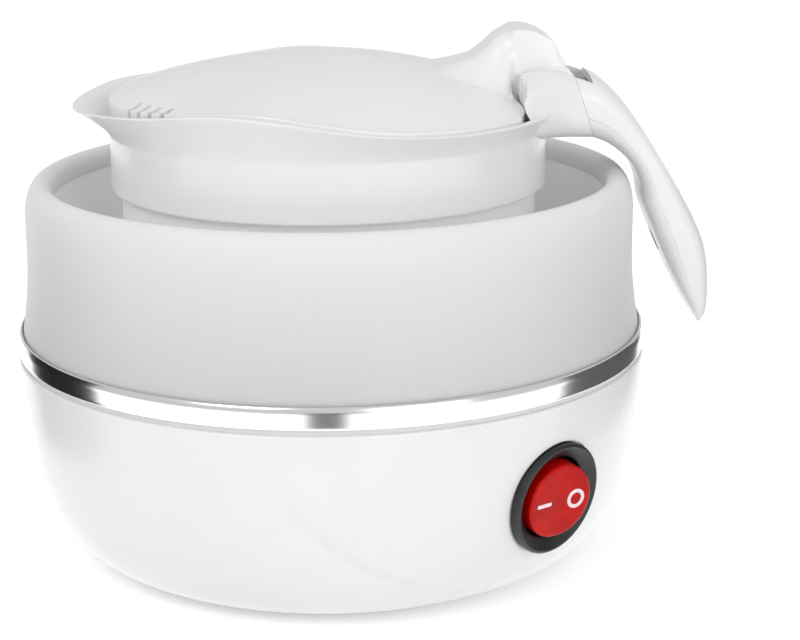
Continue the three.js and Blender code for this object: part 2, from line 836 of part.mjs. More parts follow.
function collarProfile(angle) {
  const reach = rimReachAt(angle);
  const top = rimZAt(angle);
  const flareZ = collarZ + flareStart;
  const bore = headRadius - collarWall;
  const edge = collarWall / 3;
  const midReach = headRadius + (reach - headRadius) * 0.42;
  const midZ = flareZ + (top - flareZ) * 0.55;
  return [
    [headRadius - edge, collarZ],
    [headRadius, collarZ + edge],
    [headRadius, flareZ],
    [midReach, midZ],
    [reach - edge / 2, top - edge],
    [reach - edge, top],
    [reach - rimWall + edge, top],
    [reach - rimWall, top - edge],
    [Math.max(midReach - rimWall, bore + seatWidth), midZ + edge],
    [bore + seatWidth, seatZ],
    [bore, seatZ],
    [bore, mouthRingTopZ],
    [mouthRadius, mouthRingTopZ],
    [mouthRadius, mouthRingZ],
    [bore, mouthRingZ],
    [bore, collarZ],
  ];
}

// Handle stations as shares of its reach and drop from the root: outer x, z and inner x, z,
// and the half width as a share of the handle's
const handleShares = [
  [-0.166, 0.012, -0.145, 0.254, 1.34],
  [0, 0, 0.16, 0.262, 1.12],
  [0.191, 0.038, 0.213, 0.272, 1.09],
  [0.348, 0.112, 0.275, 0.288, 1.05],
  [0.475, 0.202, 0.36, 0.322, 1.02],
  [0.585, 0.292, 0.445, 0.372, 1],
  [0.691, 0.385, 0.5, 0.44, 1],
  [0.794, 0.481, 0.521, 0.515, 0.99],
  [0.883, 0.571, 0.571, 0.592, 0.97],
  [0.952, 0.662, 0.631, 0.672, 0.95],
  [0.988, 0.75, 0.695, 0.752, 0.91],
  [1, 0.84, 0.77, 0.838, 0.84],
  [0.996, 0.925, 0.862, 0.925, 0.7],
  [0.965, 0.985, 0.929, 0.982, 0.42],
];
const neckStations = 2;
const neckStartShares = [-0.312, 0.05, -0.312, 0.254, 1.55];
const sectionPower = 3.2;
const sectionPoints = 16;

const handleRootZ = rimZ + handleRootRise;

const handlePoint = (xShare, dropShare) =>
  new THREE.Vector3(handleRootX + xShare * handleReach, 0, handleRootZ - dropShare * handleDrop);

// Handle section between two depths, 0 at the inner face and 1 at the outer, with an inset
// at its sides and its outer face
function handleSection([outerX, outerZ, innerX, innerZ, widthShare], low, high, inset) {
  const outer = handlePoint(outerX, outerZ);
  const inner = handlePoint(innerX, innerZ);
  const span = outer.clone().sub(inner);
  const thickness = span.length();
  const depth = span.clone().divideScalar(thickness);
  const halfDepth = Math.max(((high - low) * thickness - inset) / 2, fitGap);
  const halfWidth = Math.max(widthShare * handleHalfWidth - inset, fitGap);
  const centre = inner.clone().addScaledVector(depth, low * thickness + halfDepth);
  const section = [];
  for (let i = 0; i < sectionPoints; i += 1) {
    const turn = (2 * Math.PI * (i + 0.5)) / sectionPoints;
    const bulge = (value) => Math.sign(value) * Math.abs(value) ** (2 / sectionPower);
    const point = centre.clone().addScaledVector(depth, halfDepth * bulge(Math.cos(turn)));
    point.y = halfWidth * bulge(Math.sin(turn));
    section.push(point);
  }
  return section;
}

const handleLoft = (stations, low = 0, high = 1, inset = 0) =>
  lofted(stations.map((station) => handleSection(station, low, high, inset)));

// A flat-sided block that covers the handle between two depths, for parting its shells
function handleParting(stations, low, high) {
  const sections = stations.map(([outerX, outerZ, innerX, innerZ]) => {
    const outer = handlePoint(outerX, outerZ);
    const inner = handlePoint(innerX, innerZ);
    const wide = 2 * handleHalfWidth;
    const at = (share, y) => {
      const point = inner.clone().lerp(outer, share);
      point.y = y;
      return point;
    };
    return [at(low, -wide), at(low, wide), at(high, wide), at(high, -wide)];
  });
  return lofted(sections);
}

const shifted = (station, share) => {
  const [outerX, outerZ, innerX, innerZ, width] = station;
  return [outerX + share, outerZ, innerX + share, innerZ, width];
};

// The neck's tongue inside the handle, or the room for it
function handleTongue(inset, endShare) {
  const [root, next, nextButOne, last] = handleShares.slice(neckStations - 1);
  const start = shifted(root, -tongueLength / 2 / handleReach);
  const end = nextButOne.map((value, i) => THREE.MathUtils.lerp(value, last[i], endShare));
  return handleLoft([start, root, next, nextButOne, end], linerGapShare, 1, inset);
}

// The slot for the lid's barrel hinge: its round, and the throat towards the lid
function hingeSlot() {
  const clear = tailHalfWidth + slideGap;
  const slotRadius = barrelRadius + slideGap;
  const tall = 2 * slotRadius;
  const throatX = hingeX - tailReach / 2;
  const throatZ = hingeZ - slotRadius + tall / 2;
  return [
    block(tailReach, 2 * clear, tall, throatX, 0, throatZ),
    pinAlongY(slotRadius, clear, hingeX, hingeZ),
  ];
}

// The pin's hole, open at the back only
function pinHole() {
  const earFace = tailHalfWidth + slideGap + earWidth;
  const hole = pinAlongY(pinRadius + fitGap, earFace, hingeX, hingeZ, tinyRoundness);
  return hole.translate(0, pinHeadCover, 0);
}

// Collar: the round head with its pouring lip, mouth ring, hinge ears and the handle's tongue
function headCollar() {
  const neck = handleLoft([neckStartShares, ...handleShares.slice(0, neckStations)]);
  const bore = headRadius - collarWall;
  const lidPocket = turned([
    [0, seatZ],
    [bore + seatWidth, seatZ],
    [rimRadius - rimWall, rimZ],
    [rimRadius - rimWall, apexZ + overrun],
    [0, apexZ + overrun],
  ]);
  const waterWay = disc(bore, mouthRingTopZ, seatZ + fitGap);
  const mouth = disc(mouthRadius, mouthRingZ - overrun, mouthRingTopZ + overrun);
  const screwHoles = headScrewSpots().map(([x, y]) =>
    rod(headScrew.shank + fitGap, mouthRingZ - overrun, mouthRingTopZ - fitGap, x, y),
  );
  return carve(
    turnedBy(collarProfile),
    [neck, handleTongue(handleWall + fitGap, tongueEndShare)],
    [
      lidPocket,
      waterWay,
      mouth,
      ...hingeSlot(),
      pinHole(),
      ...screwHoles,
      handleScrewHole(),
    ],
  );
}

function hingePin() {
  const halfLength = tailHalfWidth + slideGap + earWidth - pinHeadCover;
  return pinAlongY(pinRadius, halfLength, hingeX, hingeZ, tinyRoundness).translate(0, fitGap, 0);
}

// Handle screws stand square to the liner's face at two stations
function handleScrewFrame(index) {
  const [outerX, outerZ, innerX, innerZ] = handleShares[index];
  const inner = handlePoint(innerX, innerZ);
  const inward = handlePoint(outerX, outerZ).sub(inner).normalize();
  const frame = new THREE.Group();
  frame.matrixAutoUpdate = false;
  const side = new THREE.Vector3(0, 1, 0);
  const third = side.clone().cross(inward);
  frame.matrix.makeBasis(third, side, inward).setPosition(inner);
  return frame;
}

const handleScrewStations = [neckStations + 1, 9];
const handleScrewFrames = handleScrewStations.map(handleScrewFrame);
kettle.add(...handleScrewFrames);

function handleScrewHole() {
  const hole = rod(handleScrew.shank + fitGap, -overrun, handleScrew.length + overrun, 0, 0);
  return placed(hole, handleScrewFrames[0]);
}

const handleStations = () => {
  const rest = handleShares.slice(neckStations);
  const first = shifted(handleShares[neckStations - 1], fitGap / handleReach);
  return [first, ...rest];
};

function handleParts() {
  const stations = handleStations();
  const whole = toSolid(handleLoft(stations));
  const hollowStations = stations.slice(0, -2);
  const start = shifted(stations[0], -tongueLength / handleReach);
  const core = toSolid(handleLoft([start, ...hollowStations], 0, 1, handleWall));
  const wide = [start, ...stations, shifted(stations[stations.length - 1], 0)];
  const innerHalf = toSolid(handleParting(wide, -1, linerShare));
  const outerHalf = toSolid(handleParting(wide, linerGapShare, 2));
  const posts = handleScrewFrames.slice(1).map((frame) => {
    const [outerX, outerZ, innerX, innerZ] = handleShares[handleScrewStations[1]];
    const tall = handlePoint(outerX, outerZ).distanceTo(handlePoint(innerX, innerZ));
    const post = rod(bossRadius, tall * linerGapShare, tall - handleWall * 0.85, 0, 0);
    return placed(post, frame);
  });
  const tongueRoom = toSolid(handleTongue(handleWall, 2 * tongueEndShare));
  let shell = whole.subtract(core).subtract(tongueRoom);
  for (const cut of hingeSlot()) shell = shell.subtract(toSolid(cut));
  for (const post of posts) shell = shell.add(toSolid(post));
  shell = shell.intersect(outerHalf);
  let liner = whole.intersect(innerHalf);
  for (const frame of handleScrewFrames) {
    const { shank, head, headHeight, length } = handleScrew;
    const tip = headHeight + length + fitGap;
    const hole = toSolid(placed(rod(shank + fitGap, -overrun, tip, 0, 0), frame));
    const bore = toSolid(placed(rod(head + fitGap, -overrun, headHeight + fitGap, 0, 0), frame));
    shell = shell.subtract(hole);
    liner = liner.subtract(hole).subtract(bore);
  }
  return [fromSolid(shell), fromSolid(liner)];
}

// Lid edge height at an angle: it follows the rim, and stands above it over the spout
const lidEdgeZ = (angle) => {
  const level = rimZ + shoulderAt(angle);
  const front = apexZ - domeDropFront;
  const blend = smoothstep(spoutBlend / 2, shoulderAngle + shoulderSpread / 2, fromSpout(angle));
  return front + (level - front) * blend;
};

// Top of the lid's dome at a share of its radius
const domeZ = (angle, share) => apexZ - (apexZ - lidEdgeZ(angle)) * share ** domeCurve;

function lidTopProfile(angle) {
  const edgeZ = lidEdgeZ(angle);
  const footZ = seatZ + fitGap;
  const dome = (share, drop) => [share * lidRadius, domeZ(angle, share) - drop];
  const innerFoot = lidFootRadius - lidSkirtWall;
  const ceilingShare = innerFoot / lidRadius;
  const ceilingZ = dome(ceilingShare, lidWall)[1] - lidEdgeRound;
  return [
    [0, apexZ],
    dome(0.3, 0),
    dome(0.55, 0),
    dome(0.76, 0),
    dome(0.9, 0),
    dome(1 - lidEdgeRound / lidRadius, 0),
    [lidRadius, edgeZ - lidEdgeRound],
    [lidFootRadius, footZ],
    [innerFoot, footZ],
    [innerFoot, Math.max(ceilingZ, footZ + fitGap)],
    dome(0.76, lidWall),
    dome(0.3, lidWall),
    [0, apexZ - lidWall],
  ];
}

// Thumb tab's outline from the dome over its crest to the barrel, as shares of its reach
const tabShares = [
  [-2.2, 0.4],
  [-1.6, 0.53],
  [-1.35, 0.73],
  [-1.1, 0.98],
  [-0.83, 1.1],
  [-0.54, 1.09],
  [-0.15, 0.89],
  [0.08, 0.63],
  [0.24, 0.35],
];

function lidTail() {
  const outline = new THREE.Shape();
  const at = ([x, z]) => [hingeX + x * tabReach, hingeZ + z * tabReach];
  outline.moveTo(...at(tabShares[0]));
  for (const share of tabShares.slice(1)) outline.lineTo(...at(share));
  const top = barrelTopAngle * degrees;
  outline.absarc(hingeX, hingeZ, barrelRadius, top, -Math.PI / 2, true);
  outline.lineTo(hingeX - tailReach, hingeZ - barrelRadius);
  outline.lineTo(hingeX - tailReach, hingeZ);
  outline.closePath();
  return barAlongY(outline, tailHalfWidth, tailRound);
}

function lidTop() {
  const bosses = lidScrewSpots().map(([x, y], i) => {
    const top = domeZ(lidScrewAngles[i], lidBossOrbit / lidRadius) - lidWall / 2;
    return rod(lidBossRadius, plugZ + plugWall + fitGap, top, x, y);
  });
  const pilots = lidScrewSpots().map(([x, y]) =>
    rod(lidScrew.shank + fitGap, plugZ - overrun, plugZ + lidScrew.length + fitGap, x, y),
  );
  const slots = [];
  for (const side of [-1, 1]) {
    for (let i = 0; i < slotsPerSide; i += 1) {
      const angle = side * (firstSlotAngle + i * slotPitch);
      const slot = block(overrun * 2, slotWidth, slotHeight, -lidRadius, 0, seatZ + slotHeight);
      slots.push(slot.rotateZ(angle * degrees));
    }
  }
  const hingeHole = pinAlongY(pinRadius + fitGap, lidRadius, hingeX, hingeZ, tinyRoundness);
  return carve(turnedBy(lidTopProfile), [lidTail(), ...bosses], [...pilots, ...slots, hingeHole]);
}

// Lid cover: a flanged plug that closes the hollow lid and reaches into the mouth
const sealZ = mouthRingTopZ + fitGap;
const lidCoverZ = sealZ + sealThickness + fitGap;
const plugZ = lidCoverZ - plugDepth;

function lidCover() {
  const outer = lidFootRadius - lidSkirtWall - fitGap;
  const topZ = lidCoverZ + lidCoverThickness;
  const profile = [
    [0, plugZ],
    [plugRadius, plugZ],
    [plugRadius, lidCoverZ],
    [outer, lidCoverZ],
    [outer, topZ],
    [plugRadius - plugWall, topZ],
    [plugRadius - plugWall, plugZ + plugWall],
    [0, plugZ + plugWall],
  ];
  const holes = lidScrewSpots().map(([x, y]) =>
    rod(lidScrew.shank + fitGap, plugZ - overrun, topZ + overrun, x, y),
  );
  return carve(turned(profile), [], holes);
}

const lidSeal = () => {
  const inner = plugRadius + fitGap;
  return ring(inner, inner + sealWidth, sealZ, sealZ + sealThickness);
};

// Rocker switch pieces, in the wall frame whose z = 0 is the seat
function switchBezel() {
  const top = switchSink + bezelProud;
  const edge = bezelLip / 2;
  return turned(
    [
      [bezelHole, fitGap],
      [bezelRadius, fitGap],
      [bezelRadius, top - edge],
      [bezelRadius - edge, top],
      [bezelHole + edge, top],
      [bezelHole, top - edge],
    ],
    wideRoundness,
  );
}

const pivotZ = switchSink + bezelProud - rockerPivotDepth;

function rockerShape() {
  const crownZ = switchSink + bezelProud + rockerProud;
  const valley = rockerProud * 0.45;
  const outline = new THREE.Shape();
  outline.moveTo(-rockerHalfWidth, crownZ);
  outline.lineTo(0, crownZ - valley);
  outline.lineTo(rockerHalfWidth, crownZ);
  outline.lineTo(rockerHalfWidth, pivotZ);
  outline.lineTo(rockerHalfWidth / 3, pivotZ - rockerDepth / 2);
  outline.lineTo(-rockerHalfWidth / 3, pivotZ - rockerDepth / 2);
  outline.lineTo(-rockerHalfWidth, pivotZ);
  outline.closePath();
  const bar = new THREE.ExtrudeGeometry(outline, { depth: 2 * bezelHole, bevelEnabled: false });
  bar.translate(0, 0, -bezelHole);
  bar.rotateX(Math.PI / 2);
  const round = disc(rockerHalfWidth, pivotZ - rockerDepth, crownZ + overrun, smallRoundness);
  const geometry = fromSolid(toSolid(bar).intersect(toSolid(round)));
  geometry.translate(0, 0, -pivotZ);
  geometry.rotateY(-rockerTilt * degrees);
  geometry.translate(0, 0, pivotZ);
  return geometry;
}

// Switch body: a cup behind the bezel that holds the rocker, with three terminal tabs
function switchBody() {
  const floorZ = pivotZ - rockerDepth;
  return turned(
    [
      [0, -switchBodyDepth],
      [switchBodyRadius, -switchBodyDepth],
      [switchBodyRadius, 0],
      [bezelHole + fitGap, 0],
      [bezelHole + fitGap, floorZ],
      [0, floorZ],
    ],
    smallRoundness,
  );
}

const terminalSpot = (index) => [0, (index - 1) * switchBodyRadius * 0.55];

function switchTerminal(index) {
  const [x, y] = terminalSpot(index);
  const high = -switchBodyDepth - fitGap;
  return block(tabWidth, tabThickness, tabLength, x, y, high - tabLength / 2);
}

// Power inlet: a flanged socket with three blades, the middle one above the others
function inletBody() {
  const flangeWidth = inletWidth + 2 * inletFlangeMargin;
  const flange = block(flangeWidth, inletTall, inletFlange, 0, 0, fitGap + inletFlange / 2);
  const bodyTall = inletTall - inletFlange - 2 * fitGap;
  const body = block(inletWidth, bodyTall, inletDepth, 0, 0, inletFlange - inletDepth / 2);
  const mouthZ = fitGap + inletFlange;
  const socket = block(
    socketWidth,
    socketTall,
    socketDepth + overrun,
    0,
    0,
    mouthZ - socketDepth + (socketDepth + overrun) / 2,
  );
  const lugZ = -shellWall - fitGap - snapLugLength / 2;
  const lugs = block(inletWidth + 2 * snapLug, bodyTall / 3, snapLugLength, 0, 0, lugZ);
  const bladeHoles = bladeSpots().map(([x, y]) =>
    block(bladeThickness + 2 * fitGap, bladeTall + 2 * fitGap, 3 * inletDepth, x, y, 0),
  );
  return carve(flange, [body, lugs], [socket, ...bladeHoles]);
}

const bladeSpots = () => [
  [-bladePitch, bladeRise - bladeStagger / 2],
  [0, bladeRise + bladeStagger / 2],
  [bladePitch, bladeRise - bladeStagger / 2],
];

function inletBlade(index) {
  const [x, y] = bladeSpots()[index];
  const mouthZ = fitGap + inletFlange;
  const top = mouthZ - 1.5 * bladeThickness;
  return block(bladeThickness, bladeTall, bladeLength, x, y, top - bladeLength / 2);
}

// Wires run from the inlet's blades to the switch and to the heater
function wireBetween(points) {
  const path = new THREE.CatmullRomCurve3(points);
  return tubeAlong(path, wireRadius, 6, 14);
}

const inFrame = (frame, x, y, z) => new THREE.Vector3(x, y, z).applyMatrix4(frame.matrix);

function bladeEnd(index) {
  const [x, y] = bladeSpots()[index];
  const endZ = fitGap + inletFlange - 1.5 * bladeThickness - bladeLength;
  return [x, y, endZ - fitGap - wireRadius];
}

const wireLevelZ = ledgeZ + ledgeThickness + wireRadius * 4;

// Where a wire meets an end of the heating element, the first end on the +X side
function heaterEnd(side) {
  const half = (180 - heaterSweep / 2) * degrees;
  const x = side * heaterOrbit * Math.sin(half);
  const y = heaterOrbit * Math.cos(half);
  return new THREE.Vector3(x, y, heaterTopZ - 2 * heaterTube - 2 * fitGap);
}

function terminalEnd(index) {
  const [x, y] = terminalSpot(index);
  return [x, y, -switchBodyDepth - 2 * fitGap - tabLength - wireRadius];
}

function liveWire() {
  const [x, y, z] = bladeEnd(0);
  const [endX, endY, endZ] = terminalEnd(0);
  return wireBetween([
    inFrame(inletFrame, x, y, z),
    inFrame(inletFrame, x, y - 2 * wireRadius, z - 3 * wireRadius),
    new THREE.Vector3(heaterOrbit * 0.45, heaterOrbit * 0.4, wireLevelZ),
    new THREE.Vector3(heaterOrbit * 0.45, -heaterOrbit * 0.3, wireLevelZ),
    inFrame(switchFrame, endX - 3 * wireRadius, endY - wireRadius, endZ - 4 * wireRadius),
    inFrame(switchFrame, endX, endY, endZ),
  ]);
}

function switchedWire() {
  const [x, y, z] = terminalEnd(1);
  const end = heaterEnd(1);
  return wireBetween([
    inFrame(switchFrame, x, y, z),
    inFrame(switchFrame, x + 3 * wireRadius, y - 3 * wireRadius, z - wireRadius),
    new THREE.Vector3(heaterOrbit * 0.75, -heaterOrbit * 0.1, wireLevelZ + 4 * wireRadius),
    end.clone().setZ(end.z - 4 * wireRadius),
    end,
  ]);
}

function neutralWire() {
  const [x, y, z] = bladeEnd(2);
  const end = heaterEnd(-1);
  const start = inFrame(inletFrame, x, y, z);
  const middle = inFrame(inletFrame, x, y, z - 3 * wireRadius);
  return wireBetween([start, middle, end.clone().setZ(end.z - 4 * wireRadius), end]);
}

function earthLead() {
  const [x, y, z] = bladeEnd(1);
  const top = spreaderTopZ - spreaderThickness - fitGap;
  return wireBetween([
    inFrame(inletFrame, x, y, z),
    inFrame(inletFrame, x, y - 2 * wireRadius, z - 2 * wireRadius),
    new THREE.Vector3(0, heaterOrbit * 0.75, top - 6 * wireRadius),
    new THREE.Vector3(0, heaterOrbit * 0.65, top - 3 * wireRadius),
    new THREE.Vector3(0, heaterOrbit * 0.65, top),
  ]);
}

// Assembly of the base
add("base_shell", baseShell(), whitePlastic);
add("bottom_cover", bottomCover(), whitePlastic);
footSpots().forEach(([x, y], i) => add(`rubber_foot_${i + 1}`, foot(x, y), darkRubber));
coverScrewSpots().forEach(([x, y], i) => {
  const mesh = add(`cover_screw_${i + 1}`, screw(coverScrew, true), plainSteel);
  mesh.position.set(x, y, coverUndersideZ + coverScrew.headHeight);
});
add("steel_band", steelBand(), polishedSteel);
add("water_pan", waterPan(), plainSteel);
add("pan_gasket", panGasket(), clearSeal);
add("body_clamp_ring", clampRing(), plainSteel);
clampScrewSpots().forEach(([x, y], i) => {
  const mesh = add(`clamp_screw_${i + 1}`, screw(clampScrew), plainSteel);
  mesh.position.set(x, y, beadZ + beadThickness + 2 * fitGap + clampThickness);
});
add("silicone_outer_wall", outerSoftWall(), softWall);
add("silicone_fold", foldedSoftWall(), softWall);

// Assembly of the heater and wiring
add(
  "heat_spreader",
  disc(spreaderRadius, spreaderTopZ - spreaderThickness, spreaderTopZ),
  aluminium,
);
add("heating_element", tubeAlong(new HeaterRoute(), heaterTube, 8, 30), plainSteel);
add("thermostat", thermostat(), ceramicWhite);
add("thermal_fuse", thermalFuse(), ceramicWhite);
add("live_wire", liveWire(), brownWire);
add("switched_wire", switchedWire(), brownWire);
add("neutral_wire", neutralWire(), blueWire);
add("earth_wire", earthLead(), earthWire);

// Assembly of the switch and inlet
add("switch_bezel", switchBezel(), blackPlastic, switchFrame);
add("switch_body", switchBody(), blackPlastic, switchFrame);
add("switch_rocker", rockerShape(), redPlastic, switchFrame);
[0, 1, 2].forEach((i) => add(`switch_terminal_${i + 1}`, switchTerminal(i), brass, switchFrame));
add("inlet_body", inletBody(), blackPlastic, inletFrame);
["live", "earth", "neutral"].forEach((role, i) =>
  add(`inlet_${role}_blade`, inletBlade(i), brass, inletFrame),
);

// Assembly of the head
add("head_collar", headCollar(), whitePlastic);
add("silicone_upper_wall", upperSoftWall(), softWall);
add("head_clamp_ring", headClampRing(), whitePlastic);
headScrewSpots().forEach(([x, y], i) => {
  const mesh = add(`head_screw_${i + 1}`, screw(headScrew, true), plainSteel);
  mesh.position.set(x, y, drumTopZ - drumWall - 2 * fitGap - headClampThickness);
});
const [handleShell, handleLiner] = handleParts();
add("handle_shell", handleShell, whitePlastic);
add("handle_liner", handleLiner, whitePlastic);
handleScrewFrames.forEach((frame, i) => {
  const mesh = add(`handle_screw_${i + 1}`, screw(handleScrew, true), plainSteel, frame);
  mesh.position.set(0, 0, handleScrew.headHeight);
});
add("lid_hinge_pin", hingePin(), plainSteel);

// Assembly of the lid
add("lid_top", lidTop(), whitePlastic);
add("lid_cover", lidCover(), whitePlastic);
add("lid_seal", lidSeal(), clearSeal);
lidScrewSpots().forEach(([x, y], i) => {
  const mesh = add(`lid_screw_${i + 1}`, screw(lidScrew, true), plainSteel);
  mesh.position.set(x, y, plugZ - fitGap);
});

export default kettle;
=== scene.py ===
# A collapsible kettle, folded down, dressed on its fixed frame.
# Metres, +Z up. The kettle's axis is Z, the spout points to -X and the handle to +X.
import math
from contextlib import contextmanager

import bmesh
import bpy
from mathutils import Matrix, Vector


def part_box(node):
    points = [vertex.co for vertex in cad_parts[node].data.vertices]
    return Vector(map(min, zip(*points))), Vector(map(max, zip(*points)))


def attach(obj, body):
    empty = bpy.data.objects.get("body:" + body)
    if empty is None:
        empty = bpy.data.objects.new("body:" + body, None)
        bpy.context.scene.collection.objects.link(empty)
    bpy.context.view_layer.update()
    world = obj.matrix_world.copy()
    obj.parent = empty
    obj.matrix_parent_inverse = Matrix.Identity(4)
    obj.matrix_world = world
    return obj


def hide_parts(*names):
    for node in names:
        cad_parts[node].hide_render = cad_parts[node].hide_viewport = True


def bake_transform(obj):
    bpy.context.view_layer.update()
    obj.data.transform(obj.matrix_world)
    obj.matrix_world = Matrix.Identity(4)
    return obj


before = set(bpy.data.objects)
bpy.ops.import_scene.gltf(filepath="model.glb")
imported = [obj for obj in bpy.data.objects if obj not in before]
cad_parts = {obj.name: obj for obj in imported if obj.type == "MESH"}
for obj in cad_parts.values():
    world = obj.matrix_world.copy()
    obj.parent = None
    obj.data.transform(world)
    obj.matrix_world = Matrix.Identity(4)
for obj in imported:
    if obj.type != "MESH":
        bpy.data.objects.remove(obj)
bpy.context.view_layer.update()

# Sizes that the frame gives
BAND_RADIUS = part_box("steel_band")[1].x
BAND_Z, BAND_TOP_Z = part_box("steel_band")[0].z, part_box("steel_band")[1].z
CREST_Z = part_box("silicone_outer_wall")[1].z
COLLAR_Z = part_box("head_collar")[0].z
FLOOR_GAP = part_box("base_shell")[0].z

# Clearances
FIT_GAP = 0.0003
LID_GAP = 0.0004
SLIDE_GAP = 0.0006
OVERRUN = 0.003
HAIR = 0.00005

# Base
BASE_TOP = 0.0409
SHELL_WALL = 0.0024
FLANK_TAPER = 0.0034
CORNER_REACH = 0.031
CORNER_POWER = 4
DECK_Z = 0.0429
DECK_THICKNESS = 0.0024
BOTTOM_OPENING = 0.0434
LEDGE_WIDTH = 0.008
LEDGE_THICKNESS = 0.0022
COVER_THICKNESS = 0.003
COVER_SCREW_ORBIT = BOTTOM_OPENING - LEDGE_WIDTH * 0.55
COVER_SCREW_ANGLES = (30, 150, 270)
COVER_SCREW_SINK = 0.0013
BAND_THICKNESS = 0.0008
FOOT_RADIUS = 0.005
FOOT_ORBIT = 0.032
FOOT_ANGLES = (45, 135, 225, 315)
FOOT_SEAT_DEPTH = 0.0012

# Soft wave in the bowl's front, with a faint line beside it
WAVE_DEPTH = 0.00055
WAVE_FADE_Z = 0.0055
LINE_DEPTH = 0.00016
LINE_HALF_WIDTH = 0.0007
RELIEF_REACH = 50

# Soft wall
NECK_RADIUS = BAND_RADIUS - BAND_THICKNESS - FIT_GAP
SKIRT_WALL = 0.0018
DRUM_WALL = 0.0016
WAIST_INSET = 0.0015
WAIST_HEIGHT = 0.016
CREST_REACH = 0.0031
CREST_DROP = 0.0066
CREST_LIP = 0.0022
BEAD_THICKNESS = 0.002
CREASE_RADIUS = 0.0438
CREASE_BEND = 0.003
FOLD_DEPTH = 0.027
FOLD_SHEET = 0.0004
# Strength of the painted glow that lightens the silicone inside the head
SILICONE_PAINTED_GLOW = 0.06

# Water pan and clamp ring
PAN_RADIUS = 0.0457
PAN_THICKNESS = 0.0007
PAN_FLOOR_Z = 0.034
PAN_CORNER = 0.004
PAN_FLANGE = 0.0076
GASKET_THICKNESS = 0.001
GASKET_WIDTH = 0.005
CLAMP_THICKNESS = 0.0015
CLAMP_WIDTH = 0.009
CLAMP_SCREW_ORBIT = 0.0563
CLAMP_SCREW_ANGLES = (20, 110, 200, 290)

# Head
HEAD_RADIUS = 0.0426
RIM_RADIUS = 0.0452
MOUTH_RADIUS = 0.033
COLLAR_WALL = 0.0017
RIM_WALL = 0.0022
RIM_Z = COLLAR_Z + 0.015
FLARE_Z = COLLAR_Z + 0.0107
FLARE_POWER = 1.45
SEAT_Z = COLLAR_Z + 0.0118
SEAT_WIDTH = 0.0014
MOUTH_RING_Z = COLLAR_Z + 0.0074
MOUTH_RING_THICKNESS = 0.0018
SPOUT_REACH = 0.0046
SPOUT_SPREAD = 24
SPOUT_BLEND = 50
SHOULDER_ANGLE = 66
SHOULDER_SPREAD = 31.5
SHOULDER_RISE = 0.00455
LIP_RISE = 0.0014
HEAD_CLAMP_THICKNESS = 0.0018
HEAD_SCREW_ORBIT = 0.0358
HEAD_SCREW_ANGLES = (60, 180, 300)
BORE = HEAD_RADIUS - COLLAR_WALL
MOUTH_RING_TOP = MOUTH_RING_Z + MOUTH_RING_THICKNESS

# Lid
LID_RADIUS = RIM_RADIUS - RIM_WALL - LID_GAP
LID_FOOT_RADIUS = BORE + SEAT_WIDTH - LID_GAP
LID_WALL = 0.0018
LID_SKIRT_WALL = 0.0014
LID_EDGE_ROUND = 0.0012
FRONT_ROUND_START = 0.0385
FRONT_ROUND_DROP = 0.0009
APEX_Z = RIM_Z + 0.0106
DOME_DROP_FRONT = 0.0072
DOME_CURVE = 1.9
PLUG_RADIUS = 0.0318
PLUG_DEPTH = 0.0033
PLUG_WALL = 0.0018
LID_COVER_THICKNESS = 0.0017
SEAL_THICKNESS = 0.001
SEAL_WIDTH = 0.005
LID_BOSS_ORBIT = 0.024
LID_SCREW_ANGLES = (75, 180, 285)
SLOT_WIDTH = 0.0013
SLOT_HEIGHT = 0.0049
FIRST_SLOT_ANGLE = 30
SLOT_PITCH = 5
SLOTS_PER_SIDE = 4

# Lid hinge and thumb tab
HINGE = Vector((0.044, 0, RIM_Z + 0.004))
PIN_RADIUS = 0.00125
BARREL_RADIUS = 0.0039
SLOT_RADIUS = 0.0068
TAIL_HALF_WIDTH = 0.0085
TAIL_REACH = 0.011
TAB_REACH = 0.01
TAB_FOOT = 0.0125
TAB_CROWN = 0.0045
TAB_SLOT_X = 0.0352
EAR_WIDTH = 0.003
CHEEK_X = 0.0362
CHEEK_ROUND = 0.0076
WING_REACH = 0.0225
NECK_FLOOR_Z = SEAT_Z + 0.001
NOTCH_CENTRE = (0.027, 0.0165)
NOTCH_RADIUS = 0.01
PIN_HEAD_COVER = 0.0016

# Handle
HANDLE_ROOT = Vector((0.0468, 0, RIM_Z + 0.0072))
HANDLE_REACH = 0.0282
HANDLE_DROP = 0.052
HANDLE_HALF_WIDTH = 0.0103
HANDLE_WALL = 0.002
LINER_SHARE = 0.336
LINER_GAP_SHARE = 0.34
SECTION_POWER = 3.2
TONGUE_LENGTH = 0.006
HANDLE_SCREW_STATIONS = (1, 8)
HANDLE_SCREW_SINK = 0.0005
SCREW_RADIUS = 0.0011
SCREW_HEAD_RADIUS = 0.0022
SCREW_HEAD_HEIGHT = 0.0012
HANDLE_SCREW_LENGTH = 0.0044

# Other screws: shank radius, head radius, head height and length
COVER_SCREW = (0.0014, 0.0028, 0.0013, 0.0085)
CLAMP_SCREW = (0.0011, 0.0022, 0.0012, 0.0052)
HEAD_SCREW = (0.0011, 0.0022, 0.0012, 0.0055)
LID_SCREW = (0.001, 0.0021, 0.0011, 0.006)
COVER_WELL_RADIUS = 0.0031
COVER_WELL_DEPTH = 0.0016
COVER_HOLE_RADIUS = 0.0017

